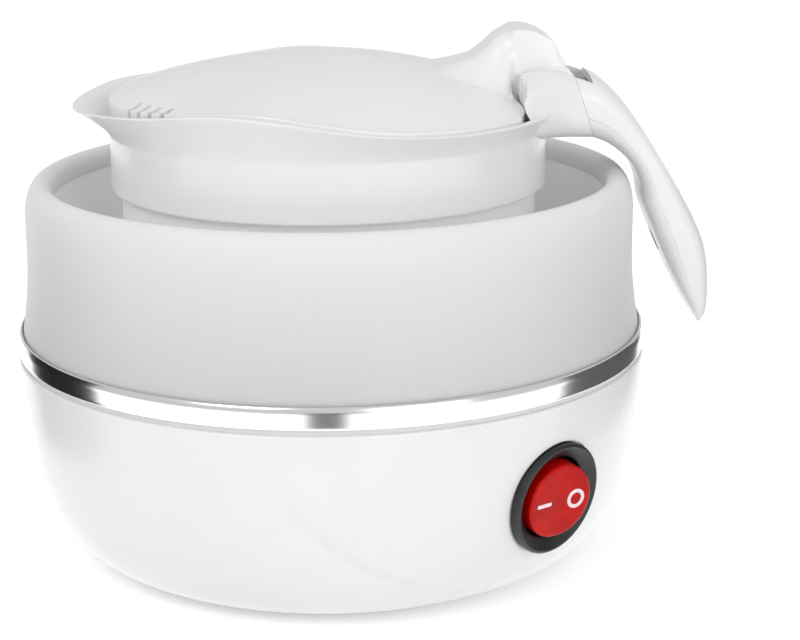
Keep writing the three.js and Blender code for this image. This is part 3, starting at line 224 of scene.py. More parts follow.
# Rocker switch and power inlet
SWITCH_AZIMUTH = -48
SWITCH_HEIGHT = 0.0227
SWITCH_SINK = 0.0012
INLET_AZIMUTH = 90
INLET_HEIGHT = 0.0225
INLET_SINK = 0.0032
SEAT_TILT = 8
BEZEL_RADIUS = 0.0108
BEZEL_PROUD = 0.001
BEZEL_HOLE = 0.0079
SWITCH_BODY_RADIUS = 0.0098
ROCKER_RADIUS = 0.0072
ROCKER_PIVOT_DEPTH = 0.0026
ROCKER_DEPTH = 0.0044
ROCKER_TILT = -8
ROCKER_PROUD = 0.0009
ROCKER_CROWN = ROCKER_PIVOT_DEPTH + ROCKER_PROUD
MARK_PLACE = 0.0037
MARK_STROKE = 0.0007
DASH_LENGTH = 0.0034
RING_RADIUS = 0.0019
MARK_RISE = 0.00012
INLET_WIDTH = 0.0254
INLET_TALL = 0.021
INLET_FLANGE = 0.0022
INLET_FLANGE_MARGIN = 0.0016
INLET_DEPTH = 0.018
SOCKET_WIDTH = 0.023
SOCKET_TALL = 0.016
SOCKET_DEPTH = 0.015
BLADE_PITCH = 0.007
BLADE_STAGGER = 0.0035
BLADE_RISE = 0.0018
BLADE_SLOT_HALF_WIDTH = 0.0013
BLADE_SLOT_HALF_HEIGHT = 0.0023

# Edges
FINE_EDGE = 0.0003
SEAL_EDGE = 0.0004
SMOOTH_ANGLE = 32
SHARP_ANGLE = 35

# How finely round shapes are made
BOWL_STEPS = 360
ROUND_STEPS = 180
SMALL_STEPS = 64
SCREW_STEPS = 40
ARC_STEPS = 5
BAR_SIDES = 64

# Camera, fitted to the photograph's frame of 800 x 640 pixels
PHOTO_WIDTH = 800
PHOTO_HEIGHT = 640
CAMERA_DISTANCE = 0.4
CAMERA_TARGET = Vector((0, 0, 0.045))
CAMERA_ELEVATION = 15.3
CAMERA_ROLL = 0.9
FOCAL_PIXELS = 1984
AXIS_PIXEL = (330.6, 318.8)


# Selection and edit mode

def only(piece):
    bpy.ops.object.select_all(action="DESELECT")
    piece.select_set(True)
    bpy.context.view_layer.objects.active = piece


@contextmanager
def editing(piece):
    only(piece)
    bpy.ops.object.mode_set(mode="EDIT")
    yield
    bpy.ops.object.mode_set(mode="OBJECT")


@contextmanager
def new_piece(name):
    """The primitive that is added inside becomes the piece, in edit mode."""
    bpy.ops.object.select_all(action="DESELECT")
    made = {}
    yield made
    bpy.ops.object.mode_set(mode="OBJECT")
    made["piece"] = bpy.context.active_object
    made["piece"].name = made["piece"].data.name = name


def added(primitive, **settings):
    """The object that a primitive adds, selected alone."""
    bpy.ops.object.select_all(action="DESELECT")
    primitive(**settings)
    return bpy.context.active_object


def close_up(piece):
    """Merges doubles and turns the faces outwards."""
    with editing(piece):
        bpy.ops.mesh.select_all(action="SELECT")
        bpy.ops.mesh.remove_doubles(threshold=HAIR / 5)
        bpy.ops.mesh.normals_make_consistent(inside=False)
    return piece


def apply_modifier(piece, kind, **settings):
    only(piece)
    modifier = piece.modifiers.new(kind.title(), kind)
    for key, value in settings.items():
        setattr(modifier, key, value)
    bpy.ops.object.modifier_apply(modifier=modifier.name)


def combine(piece, operation, tools):
    for tool in tools:
        apply_modifier(piece, "BOOLEAN", object=tool, operation=operation, solver="EXACT")
        bpy.data.objects.remove(tool)
    return piece


def cut(piece, *tools):
    return combine(piece, "DIFFERENCE", tools)


def join(piece, *tools):
    return combine(piece, "UNION", tools)


def keep_inside(piece, *tools):
    return combine(piece, "INTERSECT", tools)


def reshape(piece, place):
    """Moves each point of the mesh to where place puts it."""
    for vertex in piece.data.vertices:
        vertex.co = place(vertex.co)
    return close_up(piece)


def bevel_edges(piece, width, chosen, segments=3):
    """Bevels the sharp edges whose middle is chosen."""
    with editing(piece):
        bpy.ops.mesh.select_mode(type="EDGE")
        bpy.ops.mesh.select_all(action="DESELECT")
        mesh = bmesh.from_edit_mesh(piece.data)
        for edge in mesh.edges:
            middle = (edge.verts[0].co + edge.verts[1].co) / 2
            sharp = len(edge.link_faces) == 2 and edge.calc_face_angle() > math.radians(SHARP_ANGLE)
            edge.select_set(sharp and chosen(middle))
        bmesh.update_edit_mesh(piece.data)
        bpy.ops.mesh.bevel(offset=width, segments=segments, profile=0.5, clamp_overlap=False)
        bpy.ops.mesh.select_mode(type="VERT")
    return piece


def copies(piece, places):
    """The piece itself at the first place, and a copy with its own mesh at each other one."""
    made = [piece]
    for _ in places[1:]:
        copy = piece.copy()
        copy.data = piece.data.copy()
        bpy.context.scene.collection.objects.link(copy)
        made.append(copy)
    for each, place in zip(made, places):
        each.data.transform(place)
        each.data.update()
    return made


# Outlines and curves

def rounded(*corners):
    """Corners of (radius, height), each rounded over its third number, if it has one."""
    points = []
    for i, (radius, height, *size) in enumerate(corners):
        here = Vector((radius, height))
        if not size:
            points.append(here)
            continue
        back = Vector(corners[i - 1][:2]) - here
        ahead = Vector(corners[(i + 1) % len(corners)][:2]) - here
        start = here + back.normalized() * min(size[0], back.length / 2)
        end = here + ahead.normalized() * min(size[0], ahead.length / 2)
        for j in range(ARC_STEPS + 1):
            share = j / ARC_STEPS
            points.append(start.lerp(here, share).lerp(here.lerp(end, share), share))
    return points


def curve_through(rows, place):
    """A smooth value at a place, counted in rows, from a table of rows."""
    i = min(int(place), len(rows) - 2)
    t = place - i
    before, here = rows[max(i - 1, 0)], rows[i]
    ahead, after = rows[i + 1], rows[min(i + 2, len(rows) - 1)]
    return [
        b + t * ((c - a) + t * ((2 * a - 5 * b + 4 * c - d) + t * (3 * b - 3 * c + d - a))) / 2
        for a, b, c, d in zip(before, here, ahead, after)
    ]


def smoothstep(low, high, value):
    share = min(max((value - low) / (high - low), 0), 1)
    return share * share * (3 - 2 * share)


def polar(point):
    return math.hypot(point.x, point.y), math.degrees(math.atan2(point.y, point.x))


def on_orbit(radius, angle, z=0):
    turn = math.radians(angle)
    return Vector((radius * math.cos(turn), radius * math.sin(turn), z))


def orbit_places(radius, angles, z):
    return [Matrix.Translation(on_orbit(radius, angle, z)) for angle in angles]


# Ways of starting a piece

def turned(name, outline, steps=ROUND_STEPS):
    """An outline drawn point by point and spun about Z."""
    points = [Vector(point) for point in outline]
    if points[0].x or points[-1].x:
        points.append(points[0])
    with new_piece(name) as made:
        bpy.ops.mesh.primitive_plane_add(size=OVERRUN)
        bpy.ops.object.mode_set(mode="EDIT")
        bpy.ops.mesh.select_all(action="SELECT")
        bpy.ops.mesh.merge(type="CENTER")
        bpy.ops.transform.translate(value=(points[0].x, 0, points[0].y))
        for here, there in zip(points, points[1:]):
            step = (there.x - here.x, 0, there.y - here.y)
            bpy.ops.mesh.extrude_vertices_move(TRANSFORM_OT_translate={"value": step})
        bpy.ops.mesh.select_all(action="SELECT")
        bpy.ops.mesh.spin(steps=steps, angle=math.tau, center=(0, 0, 0), axis=(0, 0, 1))
    return close_up(made["piece"])


def drawn_bar(name, sides, rings):
    """A bar of unit radius with a ring of points at each unit of its height."""
    with new_piece(name) as made:
        bpy.ops.mesh.primitive_circle_add(vertices=sides, radius=1, fill_type="NGON")
        bpy.ops.object.mode_set(mode="EDIT")
        bpy.ops.mesh.select_all(action="SELECT")
        for _ in range(rings):
            bpy.ops.mesh.extrude_region_move(TRANSFORM_OT_translate={"value": (0, 0, 1)})
    return made["piece"]


def bent_bar(name, sides, rings, place):
    """A drawn bar put along a path: place gives a point from its ring and its turn."""
    bar = drawn_bar(name, sides, rings)
    return reshape(bar, lambda p: place(p.z, math.atan2(p.y, p.x)))


def rod(radius, low, high, x=0, y=0, steps=SMALL_STEPS):
    size = {"vertices": steps, "radius": radius, "depth": high - low}
    tool = added(bpy.ops.mesh.primitive_cylinder_add, **size, location=(x, y, (low + high) / 2))
    bpy.ops.object.transform_apply()
    return tool


def rod_along_y(radius, half, centre, steps=SMALL_STEPS):
    tool = rod(radius, -half, half, steps=steps)
    tool.data.transform(Matrix.Translation(centre) @ Matrix.Rotation(math.pi / 2, 4, "X"))
    return tool


def block(low, high, corner=0):
    """A box between two corners, its upright edges rounded."""
    low, high = Vector(low), Vector(high)
    centre = (low + high) / 2
    tool = added(bpy.ops.mesh.primitive_cube_add, size=1, location=centre)
    tool.scale = high - low
    bpy.ops.object.transform_apply()
    if corner:
        bevel_edges(tool, corner, lambda middle: abs(middle.z - centre.z) < HAIR, 6)
    return tool


def sorted_corners(one, other):
    return [min(pair) for pair in zip(one, other)], [max(pair) for pair in zip(one, other)]


def named(piece, name):
    piece.name = piece.data.name = name
    return piece


def moved(piece, matrix):
    piece.data.transform(matrix)
    piece.data.update()
    return piece


# Forms that several pieces share

def up(height):
    return Vector((0, 0, height))


def flat_ring(name, inner, outer, low, high, edge=FINE_EDGE):
    corners = (inner, low), (outer, low), (outer, high), (inner, high)
    return turned(name, rounded(*[(*corner, edge) for corner in corners]))


def cross_rod(name, radius, half, edge, steps, centre):
    """A rod with rounded ends that lies along Y."""
    outline = rounded((0, -half), (radius, -half, edge), (radius, half, edge), (0, half))
    place = Matrix.Translation(centre) @ Matrix.Rotation(math.pi / 2, 4, "X")
    return moved(turned(name, outline, steps), place)


def bowl_radius(z):
    drop = (BASE_TOP - z) / BASE_TOP
    corner = 1 - (1 - drop**CORNER_POWER) ** (1 / CORNER_POWER)
    return BAND_RADIUS - FLANK_TAPER * drop - CORNER_REACH * corner


def bowl_side(inset, end_z, steps):
    tall = BASE_TOP - inset
    end_turn = math.asin(((BASE_TOP - end_z) / tall) ** (CORNER_POWER / 2))
    points = []
    for i in range(1, steps + 1):
        turn = end_turn * (i / steps) ** 0.8
        drop = math.sin(turn) ** (2 / CORNER_POWER)
        corner = 1 - math.cos(turn) ** (2 / CORNER_POWER)
        side = BAND_RADIUS - inset - FLANK_TAPER * drop - (CORNER_REACH - inset) * corner
        points.append((side, BASE_TOP - tall * drop))
    return points


def wall_frame(azimuth, height, sink):
    """A place on the base's wall: its Z points out of the wall and its Y up along it."""
    turn, tilt = math.radians(azimuth), math.radians(SEAT_TILT)
    level = math.cos(tilt)
    out = Vector((math.cos(turn) * level, math.sin(turn) * level, -math.sin(tilt)))
    across = Vector((0, 0, 1)).cross(out).normalized()
    seat = on_orbit(bowl_radius(height), azimuth, height) - out * sink
    turned_axes = Matrix((across, out.cross(across), out)).transposed().to_4x4()
    return Matrix.Translation(seat) @ turned_axes


SWITCH_FRAME = wall_frame(SWITCH_AZIMUTH, SWITCH_HEIGHT, SWITCH_SINK)
INLET_FRAME = wall_frame(INLET_AZIMUTH, INLET_HEIGHT, INLET_SINK)


def from_spout(angle):
    return abs((angle - 180 + 180) % 360 - 180)


def lip_share(angle):
    return 1 - smoothstep(SPOUT_SPREAD, SPOUT_BLEND, from_spout(angle))


def shoulder(angle):
    beside = (from_spout(angle) - SHOULDER_ANGLE) / SHOULDER_SPREAD
    return SHOULDER_RISE * math.exp(-(beside**2))


def rim_height(angle):
    return RIM_Z + shoulder(angle) + LIP_RISE * lip_share(angle)


def lid_edge(angle):
    level = RIM_Z + shoulder(angle)
    front = APEX_Z - DOME_DROP_FRONT
    blend = smoothstep(SPOUT_BLEND / 2, SHOULDER_ANGLE + SHOULDER_SPREAD / 2, from_spout(angle))
    return front + (level - front) * blend


def dome_height(x, y):
    radius, angle = polar(Vector((x, y)))
    share = min(radius / LID_RADIUS, 1)
    return APEX_Z - (APEX_Z - lid_edge(angle)) * share**DOME_CURVE


# Stations down the handle as shares of its reach and drop from its root: outer x and drop,
# inner x and drop, and the half width as a share of the handle's
HANDLE_SHARES = [
    (0, 0, 0.16, 0.262, 1.12),
    (0.191, 0.038, 0.213, 0.272, 1.09),
    (0.348, 0.112, 0.275, 0.288, 1.05),
    (0.475, 0.202, 0.36, 0.322, 1.02),
    (0.585, 0.292, 0.445, 0.372, 1),
    (0.691, 0.385, 0.5, 0.44, 1),
    (0.794, 0.481, 0.521, 0.515, 0.99),
    (0.883, 0.571, 0.571, 0.592, 0.97),
    (0.952, 0.662, 0.631, 0.672, 0.95),
    (0.986, 0.75, 0.695, 0.752, 0.91),
    (0.996, 0.84, 0.77, 0.838, 0.84),
    (0.992, 0.925, 0.862, 0.925, 0.7),
    (0.965, 0.985, 0.929, 0.982, 0.42),
]
NECK_SHARES = [
    (-0.475, 0.045, -0.475, 0.254, 2.14),
    (-0.355, 0.006, -0.345, 0.254, 2.02),
    (-0.241, -0.009, -0.21, 0.254, 1.72),
    (-0.12, -0.014, -0.05, 0.256, 1.37),
]
RINGS_PER_STATION = 5


def handle_point(x_share, drop_share):
    return HANDLE_ROOT + Vector((x_share * HANDLE_REACH, 0, -drop_share * HANDLE_DROP))


def handle_section(station, turn, low=0, high=1, inset=0):
    """A point of the handle's section between two shares of its depth."""
    outer_x, outer_drop, inner_x, inner_drop, width = station
    outer, inner = handle_point(outer_x, outer_drop), handle_point(inner_x, inner_drop)
    thickness = (outer - inner).length
    depth = (outer - inner) / thickness
    half_depth = max(((high - low) * thickness - inset) / 2, FIT_GAP)
    half_width = max(width * HANDLE_HALF_WIDTH - inset, FIT_GAP)
    bulge = lambda value: math.copysign(abs(value) ** (2 / SECTION_POWER), value)
    point = inner + depth * (low * thickness + half_depth * (1 + bulge(math.cos(turn))))
    point.y = half_width * bulge(math.sin(turn))
    return point


def handle_bar(name, stations, low=0, high=1, inset=0):
    rings = (len(stations) - 1) * RINGS_PER_STATION

    def place(ring, turn):
        station = curve_through(stations, ring / RINGS_PER_STATION)
        return handle_section(station, turn, low, high, inset)

    return bent_bar(name, BAR_SIDES, rings, place)


def handle_parting(stations, low, high):
    """A slab that follows the handle between two shares of its depth."""
    rings = (len(stations) - 1) * RINGS_PER_STATION
    wide = 2 * HANDLE_HALF_WIDTH

    def place(ring, turn):
        outer_x, outer_drop, inner_x, inner_drop, _ = curve_through(
            stations, ring / RINGS_PER_STATION
        )
        outer, inner = handle_point(outer_x, outer_drop), handle_point(inner_x, inner_drop)
        corner = round(math.degrees(turn) / 90) % 4
        point = inner.lerp(outer, low if corner < 2 else high)
        point.y = -wide if corner in (0, 3) else wide
        return point

    return bent_bar("parting", 4, rings, place)


def shifted(station, share):
    outer_x, outer_drop, inner_x, inner_drop, width = station
    return outer_x + share, outer_drop, inner_x + share, inner_drop, width


def notch_rod(side, gap):
    """Where the lid's edge bulges beside the neck's cheek."""
    place = NOTCH_CENTRE[0], side * NOTCH_CENTRE[1]
    return rod(NOTCH_RADIUS + gap, NECK_FLOOR_Z - OVERRUN, APEX_Z + OVERRUN, *place, ROUND_STEPS)


def height_block(name, reach, half_width, floor, height):
    """A fine sheet raised to a height at each place and given its depth down to a floor."""
    start, end = reach
    with new_piece(name) as made:
        bpy.ops.mesh.primitive_grid_add(x_subdivisions=96, y_subdivisions=84, size=2)
        bpy.ops.object.mode_set(mode="EDIT")
    piece = made["piece"]
    for vertex in piece.data.vertices:
        x = start + (end - start) * (vertex.co.x + 1) / 2
        y = half_width * vertex.co.y
        vertex.co = (x, y, height(x, y))
    with editing(piece):
        bpy.ops.mesh.select_all(action="SELECT")
        bpy.ops.mesh.extrude_region_move(TRANSFORM_OT_translate={"value": (0, 0, -OVERRUN)})
        mesh = bmesh.from_edit_mesh(piece.data)
        for vertex in mesh.verts:
            if vertex.select:
                vertex.co.z = floor
        bmesh.update_edit_mesh(piece.data)
    return close_up(piece)


def hinge_slot():
    """Room for the lid's barrel and its throat towards the lid."""
    clear = TAIL_HALF_WIDTH + SLIDE_GAP
    reach = SLOT_RADIUS
    throat_low = (HINGE.x - TAIL_REACH, -clear, HINGE.z - reach)
    throat_high = (HINGE.x, clear, HINGE.z + reach)
    return [block(throat_low, throat_high), rod_along_y(reach, clear, HINGE, ROUND_STEPS)]


def screw(name, shank, head, head_height, length):
    """A pan-head screw along Z, head up, its bearing face at z = 0, with a cross recess."""
    crown = head_height * 0.4
    outline = rounded(
        (0, -length),
        (shank * 0.55, -length, shank * 0.2),
        (shank, shank - length, shank * 0.2),
        (shank, 0),
        (head, 0, crown / 4),
        (head, head_height - crown, crown),
        (head * 0.5, head_height, crown),
        (0, head_height),
    )
    shape = turned(name, outline, SCREW_STEPS)
    arm, width = head * 0.55, head * 0.13
    floor = head_height - crown * 1.6
    for long, short in ((arm, width), (width, arm)):
        cut(shape, block((-long, -short, floor), (long, short, head_height + OVERRUN)))
    return shape


def upside_down(places):
    return [place @ Matrix.Rotation(math.pi, 4, "X") for place in places]


# Materials

def srgb(red, green, blue):
    """A colour as it is seen on a screen, 0 to 255, in the shader's own scale."""
    straight = [value / 255 for value in (red, green, blue)]
    return tuple(
        value / 12.92 if value < 0.04045 else ((value + 0.055) / 1.055) ** 2.4
        for value in straight
    ) + (1,)


class Wire:
    """An output socket, so that sums on it are written as plain expressions."""

    def __init__(self, finish, socket):
        self.finish = finish
        self.socket = socket

    def maths(self, operation, *values):
        settings = {"operation": operation}
        return self.finish.node("ShaderNodeMath", settings, dict(enumerate(values)))

    def __add__(self, other):
        return self.maths("ADD", self, other)

    def __radd__(self, other):
        return self.maths("ADD", other, self)

    def __sub__(self, other):
        return self.maths("SUBTRACT", self, other)

    def __rsub__(self, other):
        return self.maths("SUBTRACT", other, self)

    def __mul__(self, other):
        return self.maths("MULTIPLY", self, other)

    def __rmul__(self, other):
        return self.maths("MULTIPLY", other, self)

    def __truediv__(self, other):
        return self.maths("DIVIDE", self, other)

    def __pow__(self, other):
        return self.maths("POWER", self, other)


class Finish:
    """A procedural material on one Principled shader."""

    def __init__(self, name, **settings):
        self.material = bpy.data.materials.new(name)
        self.material.use_nodes = True
        self.tree = self.material.node_tree
        self.shader = self.tree.nodes["Principled BSDF"]
        for key, value in settings.items():
            title = key.replace("_", " ").title().replace("Ior", "IOR")
            self.shader.inputs[title].default_value = value

    def feed(self, socket, value):
        if isinstance(value, Wire):
            self.tree.links.new(value.socket, socket)
        else:
            socket.default_value = value

    def node(self, kind, settings=None, inputs=None, output=0):
        node = self.tree.nodes.new(kind)
        for key, value in (settings or {}).items():
            if key == "stops":
                ramp = node.color_ramp
                for stop, (place, colour) in zip(ramp.elements, value):
                    stop.position = place
                    stop.color = colour
            else:
                setattr(node, key, value)
        for key, value in (inputs or {}).items():
            self.feed(node.inputs[key], value)
        return Wire(self, node.outputs[output])

    def places(self):
        return self.node("ShaderNodeTexCoord", output="Object")

    def along(self, place):
        """The three coordinates of a place, each as a number."""
        return [
            self.node("ShaderNodeSeparateXYZ", None, {0: place}, axis) for axis in ("X", "Y", "Z")
        ]

    def vector(self, x, y, z):
        return self.node("ShaderNodeCombineXYZ", None, {0: x, 1: y, 2: z})

    def noise(self, place, scale, detail=2, rough=0.5):
        return self.node(
            "ShaderNodeTexNoise",
            None,
            {"Vector": place, "Scale": scale, "Detail": detail, "Roughness": rough},
        )

    def between(self, share, first, second):
        """A colour between two, by share."""
        settings = {"data_type": "RGBA"}
        return self.node("ShaderNodeMix", settings, {0: share, 6: first, 7: second}, 2)

    def spread(self, value, low, high, start=0, end=1):
        """A value's range low to high stretched onto start to end, and held there."""
        settings = {"clamp": True}
        inputs = {0: value, 1: low, 2: high, 3: start, 4: end}
        return self.node("ShaderNodeMapRange", settings, inputs)

    def colour(self, value):
        self.feed(self.shader.inputs["Base Color"], value)

    def roughness(self, value):
        self.feed(self.shader.inputs["Roughness"], value)

    def bump(self, height, distance, strength=1):
        inputs = {"Height": height, "Distance": distance, "Strength": strength}
        self.feed(self.shader.inputs["Normal"], self.node("ShaderNodeBump", None, inputs))

    def round_axis(self):
        """Turn about Z in radians, and height, of a point."""
        x, y, z = self.along(self.places())
        return x.maths("ARCTAN2", y, x), z


def moulded_gloss(name, light, dark, rough, grain=0.00002, coat=0.0):
    """Injection moulded plastic: a faint drift of tone, an orange-peel skin and soft gloss."""
    finish = Finish(name, coat_weight=coat, coat_roughness=0.08)
    place = finish.places()
    drift = finish.noise(place, 34, 3)
    finish.colour(finish.between(finish.spread(drift, 0.35, 0.65), dark, light))
    skin = finish.noise(place, 1700, 2)
    flow = finish.noise(place, 120, 3)
    finish.roughness(rough + 0.07 * flow + 0.04 * skin)
    finish.bump(finish.noise(place, 420, 2) + 0.35 * skin, grain)
    return finish.material


def soft_silicone(name, light, dark, rough, shade_low_z, shade_high_z, glow=0.0):
    """Translucent silicone with painted shade, darker towards the bottom, random cloudy tone and
    specks, a painted glow where glow is given, and a dry satin skin.
    """
    finish = Finish(
        name,
        subsurface_weight=0.5,
        subsurface_radius=(1, 1, 1),
        subsurface_scale=0.0025,
        ior=1.41,
        # Painted glow: a faint white emission that lightens the silicone as if light came through
        # it
        emission_color=srgb(250, 250, 250),
        emission_strength=glow,
    )
    place = finish.places()
    cloud = finish.noise(place, 22, 3)
    specks = finish.spread(finish.noise(place, 900, 3), 0.66, 0.74)
    # Painted shade: darker towards the bottom and lighter towards the top, as light falls from
    # above
    height = finish.spread(finish.along(place)[2], shade_low_z, shade_high_z)
    shade_and_tone = height + 0.2 * (cloud - 0.5) - 0.1 * specks
    finish.colour(finish.between(shade_and_tone, dark, light))
    finish.roughness(rough + 0.08 * cloud + 0.05 * finish.noise(place, 600, 2))
    finish.bump(finish.noise(place, 1100, 3), 0.00003, 0.6)
    return finish.material


def polished_band(name):
    """Rolled stainless strip: mirror gloss with hairlines round the axis."""
    finish = Finish(name, metallic=1)
    turn, z = finish.round_axis()
    hairlines = finish.noise(finish.vector(3 * turn, 0 * turn, 5200 * z), 1, 3, 0.6)
    finish.colour(finish.between(hairlines, srgb(226, 227, 228), srgb(240, 240, 239)))
    finish.roughness(0.15 + 0.08 * hairlines)
    finish.bump(hairlines, 0.000012, 0.5)
    return finish.material


def spun_metal(name, light, dark, rough):
    """Pressed or turned metal with fine rings about the axis."""
    finish = Finish(name, metallic=1)
    place = finish.places()
    x, y, z = finish.along(place)
    radius = (x * x + y * y) ** 0.5
    rings = finish.noise(finish.vector(2600 * radius, 0 * x, 2600 * z), 1, 3, 0.6)
    patches = finish.noise(place, 90, 3)
    finish.colour(finish.between(finish.spread(patches, 0.3, 0.7), dark, light))
    finish.roughness(rough + 0.12 * rings + 0.06 * patches)
    finish.bump(rings, 0.00001, 0.5)
    return finish.material


def plain_metal(name, light, dark, rough):
    """Small stamped or cut metal, slightly tarnished."""
    finish = Finish(name, metallic=1)
    place = finish.places()
    tarnish = finish.noise(place, 260, 4)
    finish.colour(finish.between(finish.spread(tarnish, 0.35, 0.7), light, dark))
    finish.roughness(rough + 0.16 * tarnish)
    finish.bump(finish.noise(place, 1800, 2), 0.00001, 0.5)
    return finish.material


def dull_grain(name, light, dark, rough, grain):
    """Ceramic, rubber or insulation: matt, with a fine grain."""
    finish = Finish(name)
    place = finish.places()
    patches = finish.noise(place, 300, 4)
    finish.colour(finish.between(finish.spread(patches, 0.3, 0.7), dark, light))
    finish.roughness(rough + 0.1 * patches)
    finish.bump(finish.noise(place, 1500, 3), grain)
    return finish.material


def lit_red(name):
    """The rocker's clear red plastic, its red deeper in random patches."""
    finish = Finish(
        name,
        subsurface_weight=0.1,
        subsurface_radius=(1, 0.1, 0.05),
        subsurface_scale=0.001,
        specular_ior_level=0.15,
    )
    place = finish.places()
    depth = finish.noise(place, 260, 3)
    finish.colour(finish.between(finish.spread(depth, 0.3, 0.7), srgb(178, 6, 2), srgb(204, 12, 4)))
    finish.roughness(0.24 + 0.12 * finish.noise(place, 700, 2))
    finish.bump(finish.noise(place, 900, 2), 0.00001)
    return finish.material


LOOKS = {
    "white_plastic": (moulded_gloss, srgb(240, 240, 240), srgb(237, 237, 238), 0.2),
    # The outer wall's painted shade: darker at the band, lighter at the crest
    "soft_wall": (
        soft_silicone, srgb(231, 232, 232), srgb(207, 208, 208), 0.42, BAND_TOP_Z, CREST_Z
    ),
    # A lighter copy of the silicone with a painted glow, for the fold and the upper wall, where the
    # moat is in shade
    "soft_inside": (
        soft_silicone, srgb(238, 239, 239), srgb(232, 233, 233), 0.42, 0, CREST_Z, SILICONE_PAINTED_GLOW
    ),
    "seal": (soft_silicone, srgb(232, 232, 226), srgb(224, 224, 217), 0.45, 0, CREST_Z),
    "polished_steel": (polished_band,),
    "stainless": (spun_metal, srgb(200, 200, 198), srgb(176, 176, 175), 0.22),
    "aluminium": (spun_metal, srgb(205, 206, 208), srgb(184, 186, 188), 0.35),
    "brass": (plain_metal, srgb(205, 170, 92), srgb(168, 132, 66), 0.28),
    "black_plastic": (moulded_gloss, srgb(22, 25, 25), srgb(16, 18, 19), 0.4, 0.00004),
    "red_plastic": (lit_red,),
    "ceramic": (dull_grain, srgb(230, 226, 214), srgb(214, 208, 194), 0.5, 0.00003),
    "dark_rubber": (dull_grain, srgb(46, 46, 47), srgb(34, 34, 35), 0.7, 0.00006),
    "brown_insulation": (dull_grain, srgb(112, 66, 34), srgb(92, 52, 26), 0.45, 0.00002),
    "blue_insulation": (dull_grain, srgb(44, 98, 178), srgb(34, 82, 156), 0.45, 0.00002),
    "green_insulation": (dull_grain, srgb(132, 170, 56), srgb(112, 150, 46), 0.45, 0.00002),
    "printed_white": (dull_grain, srgb(252, 236, 238), srgb(244, 222, 224), 0.4, 0.00001),
}
MATERIALS = {name: maker(name, *values) for name, (maker, *values) in LOOKS.items()}


def paint(piece, material):
    only(piece)
    bpy.ops.object.shade_smooth_by_angle(angle=math.radians(SMOOTH_ANGLE))
    piece.data.materials.clear()
    piece.data.materials.append(MATERIALS[material])


def dress(piece, body, slot, *nodes, material=None):
    """Smooth shading, a material, a body to ride on and the nodes that the piece stands for."""
    paint(piece, material or slot)
    apply_modifier(piece, "WEIGHTED_NORMAL", keep_sharp=True, weight=100)
    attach(piece, body)
    if nodes:
        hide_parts(*nodes)
    return piece


def dress_copies(pieces, body, slot, nodes):
    for piece, node in zip(pieces, nodes):
        dress(named(piece, node + "_fine"), body, slot, node)


def screws(name, body, size, places):
    nodes = [f"{name}_{i + 1}" for i in range(len(places))]
    dress_copies(copies(screw(name, *size), places), body, "stainless", nodes)


# Base

def wave_relief(azimuth, z):
    """Depth of the soft wave that is moulded in the front of the bowl, azimuth from -Y."""
    swell = 0.0035 + 0.02 * math.exp(-(azimuth + 4) / 18)
    below = swell - z
    fade = smoothstep(-16, -4, azimuth) * (1 - smoothstep(26, 44, azimuth))
    step = smoothstep(-0.0003, 0.0007, below) * math.exp(-max(below, 0) / WAVE_FADE_Z)
    ripple = 0.0123 + 0.01 * math.exp(-(((azimuth + 7.5) / 9.5) ** 2))
    line = math.exp(-(((z - ripple) / LINE_HALF_WIDTH) ** 2))
    line_fade = smoothstep(-34, -22, azimuth) * (1 - smoothstep(-6, 2, azimuth))
    return WAVE_DEPTH * fade * step + LINE_DEPTH * line_fade * line


def with_relief(point):
    radius, angle = polar(point)
    azimuth = (angle + 90 + 180) % 360 - 180
    on_side = FLOOR_GAP < point.z < BASE_TOP and radius > bowl_radius(point.z) - SHELL_WALL / 2
    if not on_side or abs(azimuth) > RELIEF_REACH:
        return point
    share = 1 - wave_relief(azimuth, point.z) / radius
    return Vector((point.x * share, point.y * share, point.z))


